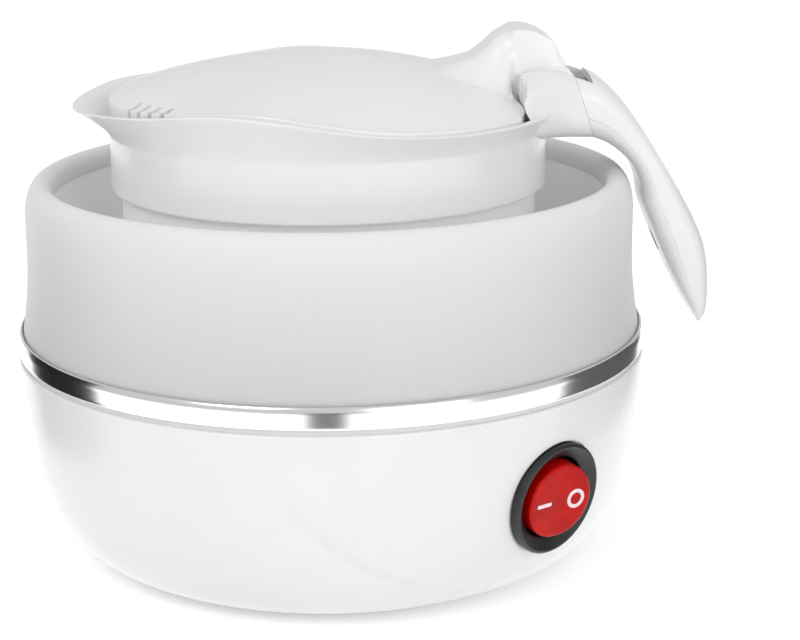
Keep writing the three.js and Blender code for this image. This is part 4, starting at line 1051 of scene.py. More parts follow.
def base_shell():
    deck_under = DECK_Z - DECK_THICKNESS
    ledge = FLOOR_GAP + COVER_THICKNESS + FIT_GAP
    ledge_top = ledge + LEDGE_THICKNESS
    deck_inner = PAN_RADIUS + 2 * FIT_GAP
    inside = reversed(bowl_side(SHELL_WALL, ledge_top, 24))
    inner = [point for point in inside if point[1] < deck_under - SHELL_WALL]
    outline = [
        *rounded(
            (deck_inner, DECK_Z, 0.0003),
            (NECK_RADIUS, DECK_Z, 0.0004),
            (NECK_RADIUS, BASE_TOP),
            (BAND_RADIUS, BASE_TOP, 0.0005),
            bowl_side(0, FLOOR_GAP, 54)[0],
        )[:-1],
        *bowl_side(0, FLOOR_GAP, 54),
        (BOTTOM_OPENING, FLOOR_GAP),
        (BOTTOM_OPENING, ledge),
        (BOTTOM_OPENING - LEDGE_WIDTH, ledge),
        (BOTTOM_OPENING - LEDGE_WIDTH, ledge_top),
        *inner,
        (NECK_RADIUS - SHELL_WALL, deck_under),
        (deck_inner, deck_under),
    ]
    shell = turned("base_shell_fine", outline, BOWL_STEPS)
    reshape(shell, with_relief)
    seat = rod(BEZEL_RADIUS + FIT_GAP, 0, SHELL_WALL + OVERRUN, steps=ROUND_STEPS)
    hole = rod(SWITCH_BODY_RADIUS + FIT_GAP, -3 * SHELL_WALL, 3 * SHELL_WALL)
    flange = INLET_WIDTH / 2 + INLET_FLANGE_MARGIN
    pad_half = Vector((flange + SHELL_WALL, INLET_TALL / 2 + SHELL_WALL, 0))
    pad = moved(block(-pad_half - up(SHELL_WALL), pad_half, SHELL_WALL), INLET_FRAME)
    side = bowl_side(HAIR, FLOOR_GAP, 20)
    bowl = turned("bowl", [(0, BASE_TOP), (BAND_RADIUS, BASE_TOP), *side, (0, FLOOR_GAP)])
    join(shell, keep_inside(pad, bowl))
    seat_half = Vector((flange + FIT_GAP, INLET_TALL / 2 + FIT_GAP, 0))
    seat_top = seat_half + up(INLET_SINK + OVERRUN)
    inlet_seat = block(-seat_half, seat_top, 0.0022)
    hole_half = Vector((INLET_WIDTH / 2 + FIT_GAP, (INLET_TALL - INLET_FLANGE) / 2, 2 * OVERRUN))
    inlet_hole = block(-hole_half, hole_half, 0.0015)
    cut(shell, *[moved(tool, SWITCH_FRAME) for tool in (seat, hole)])
    cut(shell, *[moved(tool, INLET_FRAME) for tool in (inlet_seat, inlet_hole)])
    to_inlet = INLET_FRAME.inverted()

    def seat_edge(middle):
        at_inlet = to_inlet @ middle
        outside = abs(at_inlet.x) > flange or abs(at_inlet.y) > INLET_TALL / 2
        beside = abs(at_inlet.x) < flange + 0.001 and abs(at_inlet.y) < INLET_TALL / 2 + 0.001
        return outside and beside and at_inlet.z > 0.001 and middle.y > 0

    bevel_edges(shell, FINE_EDGE, seat_edge)
    dress(shell, "base", "white_plastic", "base_shell")


def bottom_cover():
    top = FLOOR_GAP + COVER_THICKNESS
    side = BOTTOM_OPENING - FIT_GAP
    outline = rounded((0, FLOOR_GAP), (side, FLOOR_GAP, 0.0004), (side, top, 0.0002), (0, top))
    cover = turned("bottom_cover_fine", outline)
    tools = []
    for angle in COVER_SCREW_ANGLES:
        x, y, _ = on_orbit(COVER_SCREW_ORBIT, angle)
        well_top = FLOOR_GAP + COVER_WELL_DEPTH
        tools.append(rod(COVER_WELL_RADIUS, FLOOR_GAP - OVERRUN, well_top, x, y))
        tools.append(rod(COVER_HOLE_RADIUS, FLOOR_GAP - OVERRUN, top + OVERRUN, x, y))
    for angle in FOOT_ANGLES:
        x, y, _ = on_orbit(FOOT_ORBIT, angle)
        tools.append(rod(FOOT_RADIUS + FIT_GAP, -OVERRUN, FLOOR_GAP + FOOT_SEAT_DEPTH, x, y))
    half = Vector((FOOT_ORBIT / 4, FOOT_RADIUS / 6, OVERRUN))
    for side in (-1, 1):
        for row in range(3):
            y = side * (FOOT_ORBIT / 2 + row * FOOT_RADIUS)
            centre = Vector((0, y, FLOOR_GAP + COVER_THICKNESS / 2))
            tools.append(block(centre - half, centre + half, FOOT_RADIUS / 7))
    cut(cover, *tools)
    dress(cover, "base", "white_plastic", "bottom_cover")


def feet():
    top = FLOOR_GAP + FOOT_SEAT_DEPTH - FIT_GAP
    dimple = 2 * HAIR
    outline = rounded(
        (0, dimple),
        (FOOT_RADIUS * 0.72, dimple),
        (FOOT_RADIUS * 0.76, 0, 0.0001),
        (FOOT_RADIUS, 0, 0.0005),
        (FOOT_RADIUS, top, 0.0001),
        (0, top),
    )
    foot = turned("foot", outline, SMALL_STEPS)
    placed = copies(foot, orbit_places(FOOT_ORBIT, FOOT_ANGLES, 0))
    dress_copies(placed, "base", "dark_rubber", [f"rubber_foot_{i}" for i in range(1, 5)])


def steel_band():
    inner = BAND_RADIUS - BAND_THICKNESS
    outline = rounded(
        (inner, BAND_Z),
        (BAND_RADIUS - 0.0001, BAND_Z, 0.0004),
        (BAND_RADIUS, BAND_Z + 0.0006, 0.0004),
        (BAND_RADIUS, BAND_TOP_Z - 0.001, 0.0006),
        (BAND_RADIUS - 0.0004, BAND_TOP_Z, 0.0004),
        (inner, BAND_TOP_Z),
    )
    band = turned("steel_band_fine", outline, BOWL_STEPS)
    dress(band, "base", "polished_steel", "steel_band")


def water_pan():
    flange_under = DECK_Z + GASKET_THICKNESS + 2 * FIT_GAP
    flange_top = flange_under + PAN_THICKNESS
    floor = PAN_FLOOR_Z
    wall = PAN_THICKNESS
    outline = rounded(
        (0, floor),
        (PAN_RADIUS * 0.86, floor, 0.001),
        (PAN_RADIUS * 0.87, floor + 0.0001, 0.001),
        (PAN_RADIUS, floor + 0.0001, PAN_CORNER),
        (PAN_RADIUS, flange_under, 0.0006),
        (PAN_RADIUS + PAN_FLANGE, flange_under, 0.0001),
        (PAN_RADIUS + PAN_FLANGE, flange_top, 0.0001),
        (PAN_RADIUS - wall, flange_top, 0.001),
        (PAN_RADIUS - wall, floor + wall, PAN_CORNER - wall),
        (0, floor + wall),
    )
    dress(turned("water_pan_fine", outline), "base", "stainless", "water_pan")


def pan_gasket():
    inner = PAN_RADIUS + 2 * FIT_GAP + PAN_FLANGE / 4
    low = DECK_Z + FIT_GAP
    gasket = flat_ring("pan_gasket_fine", inner, inner + GASKET_WIDTH, low, low + GASKET_THICKNESS)
    dress(gasket, "base", "seal", "pan_gasket")


def soft_outer_wall():
    bead = DECK_Z + FIT_GAP
    waist = NECK_RADIUS - WAIST_INSET
    shoulder_z = CREST_Z - CREST_DROP
    crest = waist - CREST_REACH
    lip = crest - CREST_LIP
    lip_z = CREST_Z - 2 * CREST_LIP + FIT_GAP
    bead_inner = PAN_RADIUS + PAN_FLANGE + 2 * FIT_GAP

    def flank(inset):
        steps = 14
        points = []
        for i in range(steps + 1):
            share = i / steps
            pull = WAIST_INSET * (1 - (1 - share) ** 2)
            points.append((NECK_RADIUS - inset - pull, BAND_TOP_Z + WAIST_HEIGHT * share))
        return points

    def quarter(start, centre_r, centre_z, reach_r, reach_z, steps):
        points = []
        for i in range(1, steps + 1):
            turn = start + math.pi / 2 * i / steps
            side = centre_r + reach_r * math.cos(turn)
            points.append((side, centre_z + reach_z * math.sin(turn)))
        return points

    inside = NECK_RADIUS - SKIRT_WALL - WAIST_INSET
    fold_face = lip + SKIRT_WALL
    outline = [
        (NECK_RADIUS, bead),
        *flank(0),
        (waist, shoulder_z),
        *quarter(0, crest, shoulder_z, CREST_REACH, CREST_DROP, 18),
        *quarter(math.pi / 2, crest, CREST_Z - CREST_LIP, CREST_LIP, CREST_LIP, 10),
        (lip, lip_z),
        (fold_face, lip_z),
        ((inside + fold_face) / 2, CREST_Z - SKIRT_WALL),
        (inside, shoulder_z + SKIRT_WALL),
        *reversed(flank(SKIRT_WALL)),
        (NECK_RADIUS - SKIRT_WALL, bead + BEAD_THICKNESS),
        (bead_inner, bead + BEAD_THICKNESS),
        (bead_inner, bead),
    ]
    wall = turned("silicone_outer_wall_fine", outline, BOWL_STEPS)
    dress(wall, "base", "soft_wall", "silicone_outer_wall")


def soft_fold():
    """The rolling part of the wall: from the crest's lip down to the crease and up to the drum."""
    lip = NECK_RADIUS - WAIST_INSET - CREST_REACH - CREST_LIP
    top_z = CREST_Z - 2 * CREST_LIP + FIT_GAP
    bend_z = CREST_Z - FOLD_DEPTH + CREASE_BEND + SKIRT_WALL
    drum_z = bend_z + CREASE_BEND - FIT_GAP
    steps = 16

    def arc(reach):
        turns = [math.pi * i / steps for i in range(steps + 1)]
        return [(CREASE_RADIUS + reach * math.cos(t), bend_z - reach * math.sin(t)) for t in turns]

    def slope(from_r, to_r):
        count = 14
        return [
            (from_r + (to_r - from_r) * i / count, top_z + (bend_z - top_z) * i / count)
            for i in range(count)
        ]

    seen = [*slope(lip, CREASE_RADIUS + CREASE_BEND), *arc(CREASE_BEND)]
    hidden = [
        *slope(lip + FOLD_SHEET, CREASE_RADIUS + CREASE_BEND + FOLD_SHEET),
        *arc(CREASE_BEND + FOLD_SHEET),
    ]
    seen.append((CREASE_RADIUS - CREASE_BEND, drum_z))
    hidden.append((CREASE_RADIUS - CREASE_BEND - FOLD_SHEET, drum_z))
    fold = turned("silicone_fold_fine", [*hidden, *reversed(seen)])
    # Painted light: the fold takes the lighter, glowing copy of the silicone
    paint(fold, "soft_inside")
    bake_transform(fold)
    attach(fold, "base")
    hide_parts("silicone_fold")


def soft_drum():
    outer = BORE - FIT_GAP
    inner = outer - DRUM_WALL
    low = CREST_Z - FOLD_DEPTH + 2 * CREASE_BEND + SKIRT_WALL
    top = MOUTH_RING_Z - FIT_GAP
    mouth = MOUTH_RADIUS + FIT_GAP
    outline = rounded(
        (inner, low, 0.0004),
        (outer, low, 0.0004),
        (outer, top, 0.0004),
        (mouth, top, 0.0004),
        (mouth, top - DRUM_WALL, 0.0004),
        (inner, top - DRUM_WALL, 0.0006),
    )
    drum = turned("silicone_upper_wall_fine", outline)
    # Painted light: the upper wall takes the lighter, glowing copy of the silicone
    dress(drum, "head", "soft_wall", "silicone_upper_wall", material="soft_inside")


def clamp_rings():
    low = DECK_Z + 2 * FIT_GAP + BEAD_THICKNESS
    outer = NECK_RADIUS - SKIRT_WALL - FIT_GAP
    high = low + CLAMP_THICKNESS
    body_ring = flat_ring("body_clamp_ring_fine", outer - CLAMP_WIDTH, outer, low, high)
    dress(body_ring, "base", "stainless", "body_clamp_ring")
    high = MOUTH_RING_Z - 2 * FIT_GAP - DRUM_WALL
    low = high - HEAD_CLAMP_THICKNESS
    outer = BORE - 2 * FIT_GAP - DRUM_WALL
    head_ring = flat_ring("head_clamp_ring_fine", MOUTH_RADIUS + FIT_GAP, outer, low, high)
    dress(head_ring, "head", "white_plastic", "head_clamp_ring")


# Head

def flare(share):
    return max(share, 0) ** FLARE_POWER


def with_spout(point):
    """The round collar's flare pulled out to the lip and up to the rim's wave."""
    radius, angle = polar(point)
    share = (point.z - FLARE_Z) / (RIM_Z - FLARE_Z)
    if share <= 0:
        return point
    if radius < BORE + SEAT_WIDTH + HAIR and point.z < SEAT_Z + HAIR:
        return point
    reach = radius + SPOUT_REACH * lip_share(angle) * flare(share)
    z = FLARE_Z + share * (rim_height(angle) - FLARE_Z)
    scale = reach / radius
    return Vector((point.x * scale, point.y * scale, z))


def collar_ring():
    steps = 10
    rise = RIM_Z - FLARE_Z
    outer = []
    for i in range(steps):
        share = i / steps
        side = HEAD_RADIUS + (RIM_RADIUS - HEAD_RADIUS) * flare(share)
        outer.append((side, FLARE_Z + rise * share))
    inner_top = RIM_RADIUS - RIM_WALL
    corners = rounded((BORE, COLLAR_Z), (HEAD_RADIUS, COLLAR_Z, 0.0006), outer[0])[:-1]
    rim = rounded(
        outer[-1],
        (RIM_RADIUS, RIM_Z, 0.0007),
        (inner_top, RIM_Z, 0.0009),
        (BORE + SEAT_WIDTH, RIM_Z - rise * 0.4, 0.0006),
        (BORE + SEAT_WIDTH, SEAT_Z),
        (BORE, SEAT_Z, 0.0003),
        (BORE, MOUTH_RING_TOP, 0.0004),
        (MOUTH_RADIUS, MOUTH_RING_TOP, 0.0006),
        (MOUTH_RADIUS, MOUTH_RING_Z, 0.0003),
        (BORE, MOUTH_RING_Z),
    )[1:]
    ring = turned("head_collar_fine", [*corners, *outer, *rim], BOWL_STEPS)
    return reshape(ring, with_spout)


def head_collar():
    collar = collar_ring()
    neck = handle_bar("neck", [*NECK_SHARES, HANDLE_SHARES[0]])
    inside_wall = (BORE + HEAD_RADIUS) / 2
    pocket = RIM_RADIUS - RIM_WALL + HAIR
    inside = [
        (0, COLLAR_Z - OVERRUN),
        (inside_wall, COLLAR_Z - OVERRUN),
        (inside_wall, SEAT_Z - FIT_GAP),
        (BORE + SEAT_WIDTH + 2 * FIT_GAP, SEAT_Z + 2 * FIT_GAP),
        (pocket, RIM_Z - 2 * FIT_GAP),
        (pocket, APEX_Z + OVERRUN),
        (0, APEX_Z + OVERRUN),
    ]
    keep_out = turned("keep_out", inside, BOWL_STEPS)
    for side in (-1, 1):
        low = (CHEEK_X, side * (TAIL_HALF_WIDTH - FIT_GAP), NECK_FLOOR_Z)
        high = (HANDLE_ROOT.x, side * WING_REACH, 2 * APEX_Z)
        room = cut(block(*sorted_corners(low, high)), notch_rod(side, FIT_GAP))
        keep_inside(room, rod_along_y(CHEEK_ROUND, 2 * WING_REACH, HINGE, ROUND_STEPS))
        cut(keep_out, room)
    cut(neck, keep_out)
    tongue_start = shifted(HANDLE_SHARES[0], -TONGUE_LENGTH / 2 / HANDLE_REACH)
    start = [tongue_start, *HANDLE_SHARES[:3]]
    tongue = handle_bar("tongue", start, LINER_GAP_SHARE, 1, HANDLE_WALL + FIT_GAP)
    ear_face = TAIL_HALF_WIDTH + SLIDE_GAP + EAR_WIDTH
    hole_centre = HINGE + Vector((0, PIN_HEAD_COVER, 0))
    pin_hole = rod_along_y(PIN_RADIUS + FIT_GAP, ear_face, hole_centre)
    join(neck, tongue)
    join(collar, neck)
    cut(collar, *hinge_slot(), pin_hole)

    def neck_edge(middle):
        on_slot = abs(abs(middle.y) - TAIL_HALF_WIDTH - SLIDE_GAP) < HAIR
        from_notch = math.hypot(middle.x - NOTCH_CENTRE[0], abs(middle.y) - NOTCH_CENTRE[1])
        on_notch = abs(from_notch - NOTCH_RADIUS - FIT_GAP) < HAIR and abs(middle.y) < WING_REACH
        return (on_slot or on_notch) and CHEEK_X < middle.x < HINGE.x and middle.z > RIM_Z + OVERRUN

    bevel_edges(collar, FINE_EDGE, neck_edge)
    dress(collar, "head", "white_plastic", "head_collar")


def handle_screw_place(station):
    """Square to the liner's face, its Z into the handle."""
    outer_x, outer_drop, inner_x, inner_drop, _ = station
    inner = handle_point(inner_x, inner_drop)
    ahead = (handle_point(outer_x, outer_drop) - inner).normalized()
    side = Vector((0, 1, 0))
    axes = Matrix((side.cross(ahead), side, ahead)).transposed().to_4x4()
    return Matrix.Translation(inner) @ axes


def handle():
    first = shifted(HANDLE_SHARES[0], HAIR / HANDLE_REACH)
    stations = [first, *HANDLE_SHARES[1:]]
    parting = [shifted(first, -TONGUE_LENGTH / HANDLE_REACH), *stations]
    shell = handle_bar("handle_shell_fine", stations)
    liner = handle_bar("handle_liner_fine", stations)
    core_stations = [parting[0], *stations[:-2]]
    core = handle_bar("core", core_stations, 0, 1, HANDLE_WALL)
    cut(shell, core, *hinge_slot())
    keep_inside(shell, handle_parting(parting, LINER_GAP_SHARE, 2))
    keep_inside(liner, handle_parting(parting, -1, LINER_SHARE))
    places = [handle_screw_place(HANDLE_SHARES[i]) for i in HANDLE_SCREW_STATIONS]
    bearing = SCREW_HEAD_HEIGHT + HANDLE_SCREW_SINK
    for place in places:
        room = rod(SCREW_HEAD_RADIUS + FIT_GAP, -OVERRUN, bearing)
        hole = rod(SCREW_RADIUS + FIT_GAP / 2, 0, 2 * OVERRUN)
        cut(liner, moved(room, place), moved(hole, place))
    sunk = [place @ Matrix.Translation((0, 0, bearing)) for place in places]
    size = SCREW_RADIUS, SCREW_HEAD_RADIUS, SCREW_HEAD_HEIGHT, HANDLE_SCREW_LENGTH
    screws("handle_screw", "head", size, upside_down(sunk))
    dress(shell, "head", "white_plastic", "handle_shell")
    dress(liner, "head", "white_plastic", "handle_liner")


def hinge_pin():
    half = TAIL_HALF_WIDTH + SLIDE_GAP + EAR_WIDTH - PIN_HEAD_COVER
    centre = HINGE + Vector((0, FIT_GAP, 0))
    pin = cross_rod("lid_hinge_pin_fine", PIN_RADIUS, half, FINE_EDGE, SMALL_STEPS, centre)
    dress(pin, "head", "stainless", "lid_hinge_pin")


# Lid

def with_wave(point):
    """The round lid raised to its edge's wave."""
    radius, angle = polar(point)
    foot = SEAT_Z + FIT_GAP
    along_dome = min(radius / LID_RADIUS, 1) ** DOME_CURVE
    up_skirt = max((point.z - foot) / (RIM_Z - foot), 0)
    raise_by = (lid_edge(angle) - RIM_Z) * min(along_dome, up_skirt)
    outer = smoothstep(FRONT_ROUND_START, LID_RADIUS, radius) if up_skirt > 0.5 else 0
    raise_by -= FRONT_ROUND_DROP * lip_share(angle) * outer
    return Vector((point.x, point.y, point.z + raise_by))


def dome_outline():
    foot = SEAT_Z + FIT_GAP
    inner_foot = LID_FOOT_RADIUS - LID_SKIRT_WALL
    drop = APEX_Z - RIM_Z
    steps = 30

    def dome(share, inset):
        return (share * LID_RADIUS, APEX_Z - drop * share**DOME_CURVE - inset)

    edge_share = 1 - LID_EDGE_ROUND / LID_RADIUS
    top = [dome(edge_share * i / steps, 0) for i in range(steps)]
    ceiling_share = (inner_foot - LID_EDGE_ROUND) / LID_RADIUS
    ceiling = [dome(ceiling_share * i / steps, LID_WALL) for i in range(steps, -1, -1)]
    edge = rounded(
        dome(edge_share, 0),
        (LID_RADIUS, dome(edge_share, 0)[1] - 0.0001, LID_EDGE_ROUND),
        (LID_FOOT_RADIUS, foot, 0.0003),
        (inner_foot, foot, 0.0003),
        (inner_foot, ceiling[0][1] - LID_EDGE_ROUND),
    )
    return [*top, *edge, *ceiling]


# Thumb tab's top line from the dome over its crest to the barrel, as shares of its reach
TAB_SHARES = [
    (-2.6, 0.3),
    (-2.2, 0.4),
    (-1.6, 0.55),
    (-1.35, 0.74),
    (-1.1, 0.96),
    (-0.83, 1.075),
    (-0.54, 1.078),
    (-0.33, 1.01),
    (-0.06, 0.86),
    (0.05, 0.645),
    (0.16, 0.45),
    (0.27, 0.25),
    (0.37, 0.12),
]


def tab_top(x):
    share = (x - HINGE.x) / TAB_REACH
    for i in range(len(TAB_SHARES) - 1):
        start, end = TAB_SHARES[i][0], TAB_SHARES[i + 1][0]
        if share <= end:
            break
    place = i + min(max((share - start) / (end - start), 0), 1)
    return HINGE.z + curve_through(TAB_SHARES, place)[1] * TAB_REACH


def tab_height(x, y):
    """The thumb tab's soft sides, which run out on the dome and stand upright in the slot."""
    in_slot = smoothstep(TAB_SLOT_X - LID_EDGE_ROUND, TAB_SLOT_X + LID_EDGE_ROUND, x)
    wide = TAB_FOOT + (TAIL_HALF_WIDTH - TAB_FOOT) * in_slot
    crown = TAB_CROWN + (TAIL_HALF_WIDTH - LID_WALL - TAB_CROWN) * in_slot
    side = 1 - smoothstep(crown, wide, abs(y))
    ground = dome_height(x, y) - 2 * HAIR
    ground -= in_slot * (ground - HINGE.z)
    return ground + (tab_top(x) - ground) * side


def thumb_tab():
    start, end = HINGE.x - 2.5 * TAB_REACH, HINGE.x + BARREL_RADIUS * 0.92
    floor = HINGE.z - SLOT_RADIUS + SLIDE_GAP
    tab = height_block("tab", (start, end), TAB_FOOT, floor, tab_height)
    for side in (1, -1):
        low = (TAB_SLOT_X, side * TAIL_HALF_WIDTH, floor - OVERRUN)
        high = (end + OVERRUN, side * 2 * TAB_FOOT, APEX_Z + TAB_REACH)
        cut(tab, block(*sorted_corners(low, high)))
    return tab


def lid_top():
    lid = reshape(turned("lid_top_fine", dome_outline(), BOWL_STEPS), with_wave)
    tab = thumb_tab()
    under = block(
        (HINGE.x, -2 * TAB_FOOT, HINGE.z - 2 * BARREL_RADIUS),
        (HINGE.x + 2 * BARREL_RADIUS, 2 * TAB_FOOT, HINGE.z),
    )
    cut(tab, under)
    barrel = cross_rod("barrel", BARREL_RADIUS, TAIL_HALF_WIDTH, 0.0007, ROUND_STEPS, HINGE)
    join(tab, barrel)
    slots = []
    half = Vector((OVERRUN, SLOT_WIDTH / 2, SLOT_HEIGHT / 2))
    centre = Matrix.Translation((-LID_RADIUS, 0, SEAT_Z + SLOT_HEIGHT))
    for side in (-1, 1):
        for i in range(SLOTS_PER_SIDE):
            angle = side * (FIRST_SLOT_ANGLE + i * SLOT_PITCH)
            turn = Matrix.Rotation(math.radians(angle), 4, "Z")
            slots.append(moved(block(-half, half), turn @ centre))
    for side in (-1, 1):
        low = (CHEEK_X - FIT_GAP, side * TAIL_HALF_WIDTH, NECK_FLOOR_Z - OVERRUN)
        high = (HINGE.x + OVERRUN, side * (WING_REACH + FIT_GAP), APEX_Z)
        slots.append(cut(block(*sorted_corners(low, high)), notch_rod(side, 0)))
    cut(lid, *slots)
    join(lid, tab)
    cut(lid, rod_along_y(PIN_RADIUS + FIT_GAP, LID_RADIUS, HINGE))
    dress(lid, "lid", "white_plastic", "lid_top")


def lid_cover():
    seal_z = MOUTH_RING_TOP + FIT_GAP
    low = seal_z + SEAL_THICKNESS + FIT_GAP
    plug = low - PLUG_DEPTH
    top = low + LID_COVER_THICKNESS
    outer = LID_FOOT_RADIUS - LID_SKIRT_WALL - FIT_GAP
    inside = PLUG_RADIUS - PLUG_WALL
    outline = rounded(
        (0, plug),
        (PLUG_RADIUS, plug, 0.0008),
        (PLUG_RADIUS, low),
        (outer, low, FINE_EDGE),
        (outer, top, FINE_EDGE),
        (inside, top, FINE_EDGE),
        (inside, plug + PLUG_WALL, 0.0005),
        (0, plug + PLUG_WALL),
    )
    dress(turned("lid_cover_fine", outline), "lid", "white_plastic", "lid_cover")
    inner = PLUG_RADIUS + FIT_GAP
    high = seal_z + SEAL_THICKNESS
    seal = flat_ring("lid_seal_fine", inner, inner + SEAL_WIDTH, seal_z, high, SEAL_EDGE)
    dress(seal, "lid", "seal", "lid_seal")
    under_plug = upside_down(orbit_places(LID_BOSS_ORBIT, LID_SCREW_ANGLES, plug - FIT_GAP))
    screws("lid_screw", "lid", LID_SCREW, under_plug)


# Screws of the base and head

def base_screws():
    height = FLOOR_GAP + COVER_SCREW_SINK
    under_cover = upside_down(orbit_places(COVER_SCREW_ORBIT, COVER_SCREW_ANGLES, height))
    screws("cover_screw", "base", COVER_SCREW, under_cover)
    height = DECK_Z + 3 * FIT_GAP + BEAD_THICKNESS + CLAMP_THICKNESS
    on_ring = orbit_places(CLAMP_SCREW_ORBIT, CLAMP_SCREW_ANGLES, height)
    screws("clamp_screw", "base", CLAMP_SCREW, on_ring)


def head_screws():
    height = MOUTH_RING_Z - 3 * FIT_GAP - DRUM_WALL - HEAD_CLAMP_THICKNESS
    under_ring = upside_down(orbit_places(HEAD_SCREW_ORBIT, HEAD_SCREW_ANGLES, height))
    screws("head_screw", "head", HEAD_SCREW, under_ring)


# Switch and inlet

def switch_bezel():
    top = SWITCH_SINK + BEZEL_PROUD
    outline = rounded(
        (BEZEL_HOLE, FIT_GAP),
        (BEZEL_RADIUS, FIT_GAP, 0.0002),
        (BEZEL_RADIUS, top - 0.0004, FINE_EDGE),
        (BEZEL_RADIUS - 0.0005, top, FINE_EDGE),
        (BEZEL_HOLE, top - 0.0016, 0.0004),
    )
    bezel = moved(turned("switch_bezel_fine", outline), SWITCH_FRAME)
    dress(bezel, "base", "black_plastic", "switch_bezel")


def rocker_place():
    pivot = SWITCH_SINK + BEZEL_PROUD - ROCKER_PIVOT_DEPTH
    tilt = Matrix.Rotation(math.radians(ROCKER_TILT), 4, "Y")
    lift = Matrix.Translation((0, 0, pivot))
    return SWITCH_FRAME @ lift @ tilt


def rocker_top(x):
    """Height of the rocker's two slopes above its pivot."""
    valley = ROCKER_PROUD * 0.45
    reach = abs(x) / ROCKER_RADIUS
    return ROCKER_CROWN - valley * (1 - (reach**2 + 0.02) ** 0.5)


def switch_rocker():
    crown = ROCKER_CROWN
    outline = rounded(
        (0, -ROCKER_DEPTH / 2),
        (ROCKER_RADIUS / 3, -ROCKER_DEPTH / 2),
        (ROCKER_RADIUS, 0),
        (ROCKER_RADIUS, crown, 0.0006),
        *[(ROCKER_RADIUS * share, crown) for share in (0.85, 0.6, 0.4, 0.2, 0)],
    )
    rocker = turned("switch_rocker_fine", outline, 96)

    def slopes(point):
        share = smoothstep(crown * 0.5, crown * 0.8, point.z)
        drop = (crown - rocker_top(point.x)) * share
        return Vector((point.x, point.y, point.z - max(drop, 0)))

    reshape(rocker, slopes)
    moved(rocker, rocker_place())
    dress(rocker, "rocker", "red_plastic", "switch_rocker")


def switch_marks():
    """The plain dash and ring of an on-off switch, raised a hair above the rocker."""
    rise = MARK_RISE
    half = Vector((DASH_LENGTH / 2, MARK_STROKE / 2, rise))
    dash = named(block(-half, half, MARK_STROKE * 0.4), "switch_mark_dash")
    inner = RING_RADIUS - MARK_STROKE
    edge = rise / 2
    outline = rounded(
        (inner, -rise), (RING_RADIUS, -rise), (RING_RADIUS, rise, edge), (inner, rise, edge)
    )
    ring = turned("switch_mark_ring", outline, SMALL_STEPS)
    for mark, side in ((dash, -1), (ring, 1)):
        x = side * MARK_PLACE
        slope = (rocker_top(x + HAIR) - rocker_top(x - HAIR)) / (2 * HAIR)
        lie = Matrix.Rotation(-math.atan(slope), 4, "Y")
        place = rocker_place() @ Matrix.Translation((x, 0, rocker_top(x))) @ lie
        moved(mark, place)
        dress(mark, "rocker", "red_plastic", material="printed_white")


def inlet_body():
    flange = Vector((INLET_WIDTH / 2 + INLET_FLANGE_MARGIN, INLET_TALL / 2, 0))
    top = FIT_GAP + INLET_FLANGE
    face = named(block(-flange + up(FIT_GAP), flange + up(top), 0.002), "inlet_body_fine")
    bevel_edges(face, 0.0005, lambda middle: middle.z > top - HAIR)
    body = Vector((INLET_WIDTH / 2, (INLET_TALL - INLET_FLANGE) / 2 - FIT_GAP, 0))
    join(face, block(up(INLET_FLANGE - INLET_DEPTH) - body, body + up(INLET_FLANGE), 0.0015))
    socket = Vector((SOCKET_WIDTH / 2, SOCKET_TALL / 2, 0))
    cut(face, block(up(top - SOCKET_DEPTH) - socket, socket + up(top + OVERRUN), 0.0025))
    reach = SOCKET_WIDTH / 2 + 2 * HAIR
    bevel_edges(face, 0.0004, lambda middle: middle.z > top - HAIR and abs(middle.x) < reach)
    half = Vector((BLADE_SLOT_HALF_WIDTH, BLADE_SLOT_HALF_HEIGHT, 2 * INLET_DEPTH))
    for side in (-1, 0, 1):
        y = BLADE_RISE + (BLADE_STAGGER / 2 if side == 0 else -BLADE_STAGGER / 2)
        centre = Vector((side * BLADE_PITCH, y, 0))
        cut(face, block(centre - half, centre + half))
    dress(moved(face, INLET_FRAME), "base", "black_plastic", "inlet_body")


# What stays as the frame has it, with its material
CARRIED_OVER = {
    "aluminium": ["heat_spreader"],
    "stainless": ["heating_element"],
    "ceramic": ["thermostat", "thermal_fuse"],
    "brown_insulation": ["live_wire", "switched_wire"],
    "blue_insulation": ["neutral_wire"],
    "green_insulation": ["earth_wire"],
    "black_plastic": ["switch_body"],
    "brass": [
        *[f"switch_terminal_{i}" for i in (1, 2, 3)],
        *[f"inlet_{pole}_blade" for pole in ("live", "earth", "neutral")],
    ],
}


def dress_frame():
    for slot, nodes in CARRIED_OVER.items():
        for node in nodes:
            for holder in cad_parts[node].material_slots:
                holder.link = "OBJECT"
                holder.material = MATERIALS[slot]


# Studio

def stage_floor():
    floor = added(bpy.ops.mesh.primitive_plane_add, size=12)
    floor.name = "studio_floor"
    finish = Finish("studio_floor", roughness=0.9, specular_ior_level=0, emission_strength=1)
    cloud = finish.noise(finish.places(), 3, 2)
    finish.colour(finish.between(cloud, srgb(244, 244, 244), srgb(248, 248, 248)))
    seen = finish.node("ShaderNodeLightPath")
    mirrored = finish.node("ShaderNodeLightPath", output="Is Glossy Ray")
    glow = finish.between(seen, srgb(0, 0, 0), srgb(164, 164, 164))
    glow = finish.between(mirrored, glow, srgb(225, 225, 225))
    finish.feed(finish.shader.inputs["Emission Color"], glow)
    floor.data.materials.append(finish.material)


def dark_card(name, centre, width, height, turn, shade):
    """A dark board out of the picture that only shows as a reflection in the metal."""
    card = added(bpy.ops.mesh.primitive_plane_add, size=1)
    card.name = name
    card.scale = (width, height, 1)
    bpy.ops.object.transform_apply()
    upright = Matrix.Rotation(math.radians(turn), 4, "Z") @ Matrix.Rotation(math.pi / 2, 4, "X")
    moved(card, Matrix.Translation(centre) @ upright)
    finish = Finish(name, roughness=1)
    finish.colour(shade)
    card.data.materials.append(finish.material)
    for way in ("camera", "diffuse", "shadow", "transmission"):
        setattr(card, "visible_" + way, False)


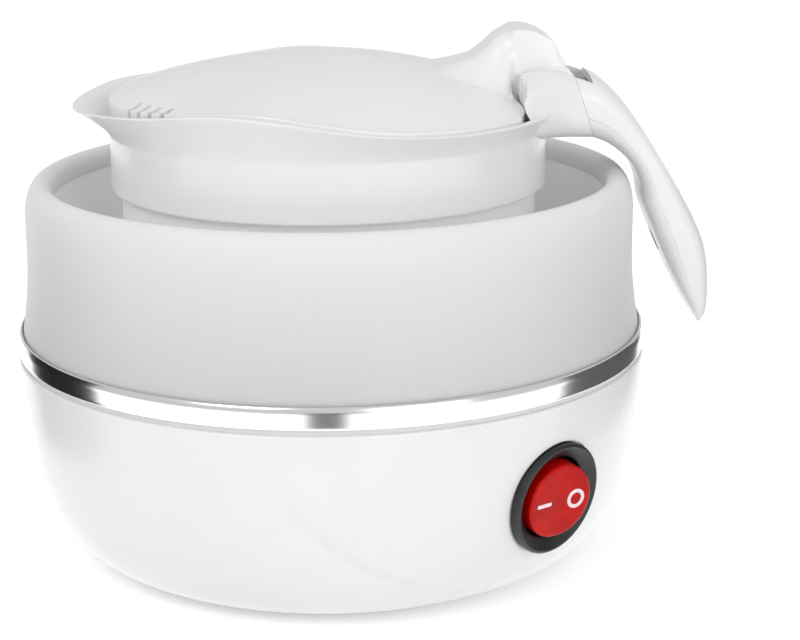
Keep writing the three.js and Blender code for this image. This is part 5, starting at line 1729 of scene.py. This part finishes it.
def soft_lamp(name, place, aim, size, power):
    lamp = added(bpy.ops.object.light_add, type="AREA", location=place)
    lamp.name = name
    lamp.data.shape = "SQUARE"
    lamp.data.size = size
    lamp.data.energy = power
    direction = Vector(aim) - Vector(place)
    lamp.rotation_euler = direction.to_track_quat("-Z", "Y").to_euler()


def studio():
    world = bpy.data.worlds.new("studio")
    bpy.context.scene.world = world
    world.use_nodes = True
    background = world.node_tree.nodes["Background"]
    background.inputs["Color"].default_value = (1, 1, 1, 1)
    background.inputs["Strength"].default_value = 0.68
    soft_lamp("key_lamp", (-0.55, -0.75, 0.85), (0, 0, 0.04), 0.5, 3)
    soft_lamp("fill_lamp", (0.55, -0.95, 0.4), (0, 0, 0.04), 0.6, 2.6)
    stage_floor()
    dark_card("left_card", (-0.108, -0.006, 0.04), 0.074, 0.08, 90, srgb(8, 8, 9))
    dark_card("middle_card", (-0.003, -0.125, 0.03), 0.022, 0.05, 0, srgb(128, 128, 129))
    dark_card("right_card", (0.116, 0.014, 0.04), 0.12, 0.08, 90, srgb(104, 104, 105))


def camera():
    elevation, roll = math.radians(CAMERA_ELEVATION), math.radians(CAMERA_ROLL)
    ahead = Vector((0, math.cos(elevation), -math.sin(elevation)))
    up = Vector((0, math.sin(elevation), math.cos(elevation)))
    right = Vector((1, 0, 0))
    tilted_right = right * math.cos(roll) - up * math.sin(roll)
    tilted_up = right * math.sin(roll) + up * math.cos(roll)
    bpy.ops.object.camera_add(location=CAMERA_TARGET - ahead * CAMERA_DISTANCE)
    camera = bpy.context.active_object
    camera.rotation_euler = Matrix((tilted_right, tilted_up, -ahead)).transposed().to_euler()
    lens = camera.data
    lens.sensor_width = 36
    lens.lens = FOCAL_PIXELS * lens.sensor_width / PHOTO_WIDTH
    lens.shift_x = (PHOTO_WIDTH / 2 - AXIS_PIXEL[0]) / PHOTO_WIDTH
    lens.shift_y = (AXIS_PIXEL[1] - PHOTO_HEIGHT / 2) / PHOTO_WIDTH
    lens.clip_start = 0.01
    bpy.context.scene.camera = camera


for make in (
    camera, studio, base_shell, bottom_cover, feet, steel_band, water_pan, pan_gasket,
    soft_outer_wall, soft_fold, soft_drum, clamp_rings, head_collar, handle, hinge_pin, lid_top,
    lid_cover, base_screws, head_screws, switch_bezel, switch_rocker, switch_marks, inlet_body,
    dress_frame,
):
    make()

bpy.context.scene.view_settings.view_transform = "Standard"
bpy.context.view_layer.update()
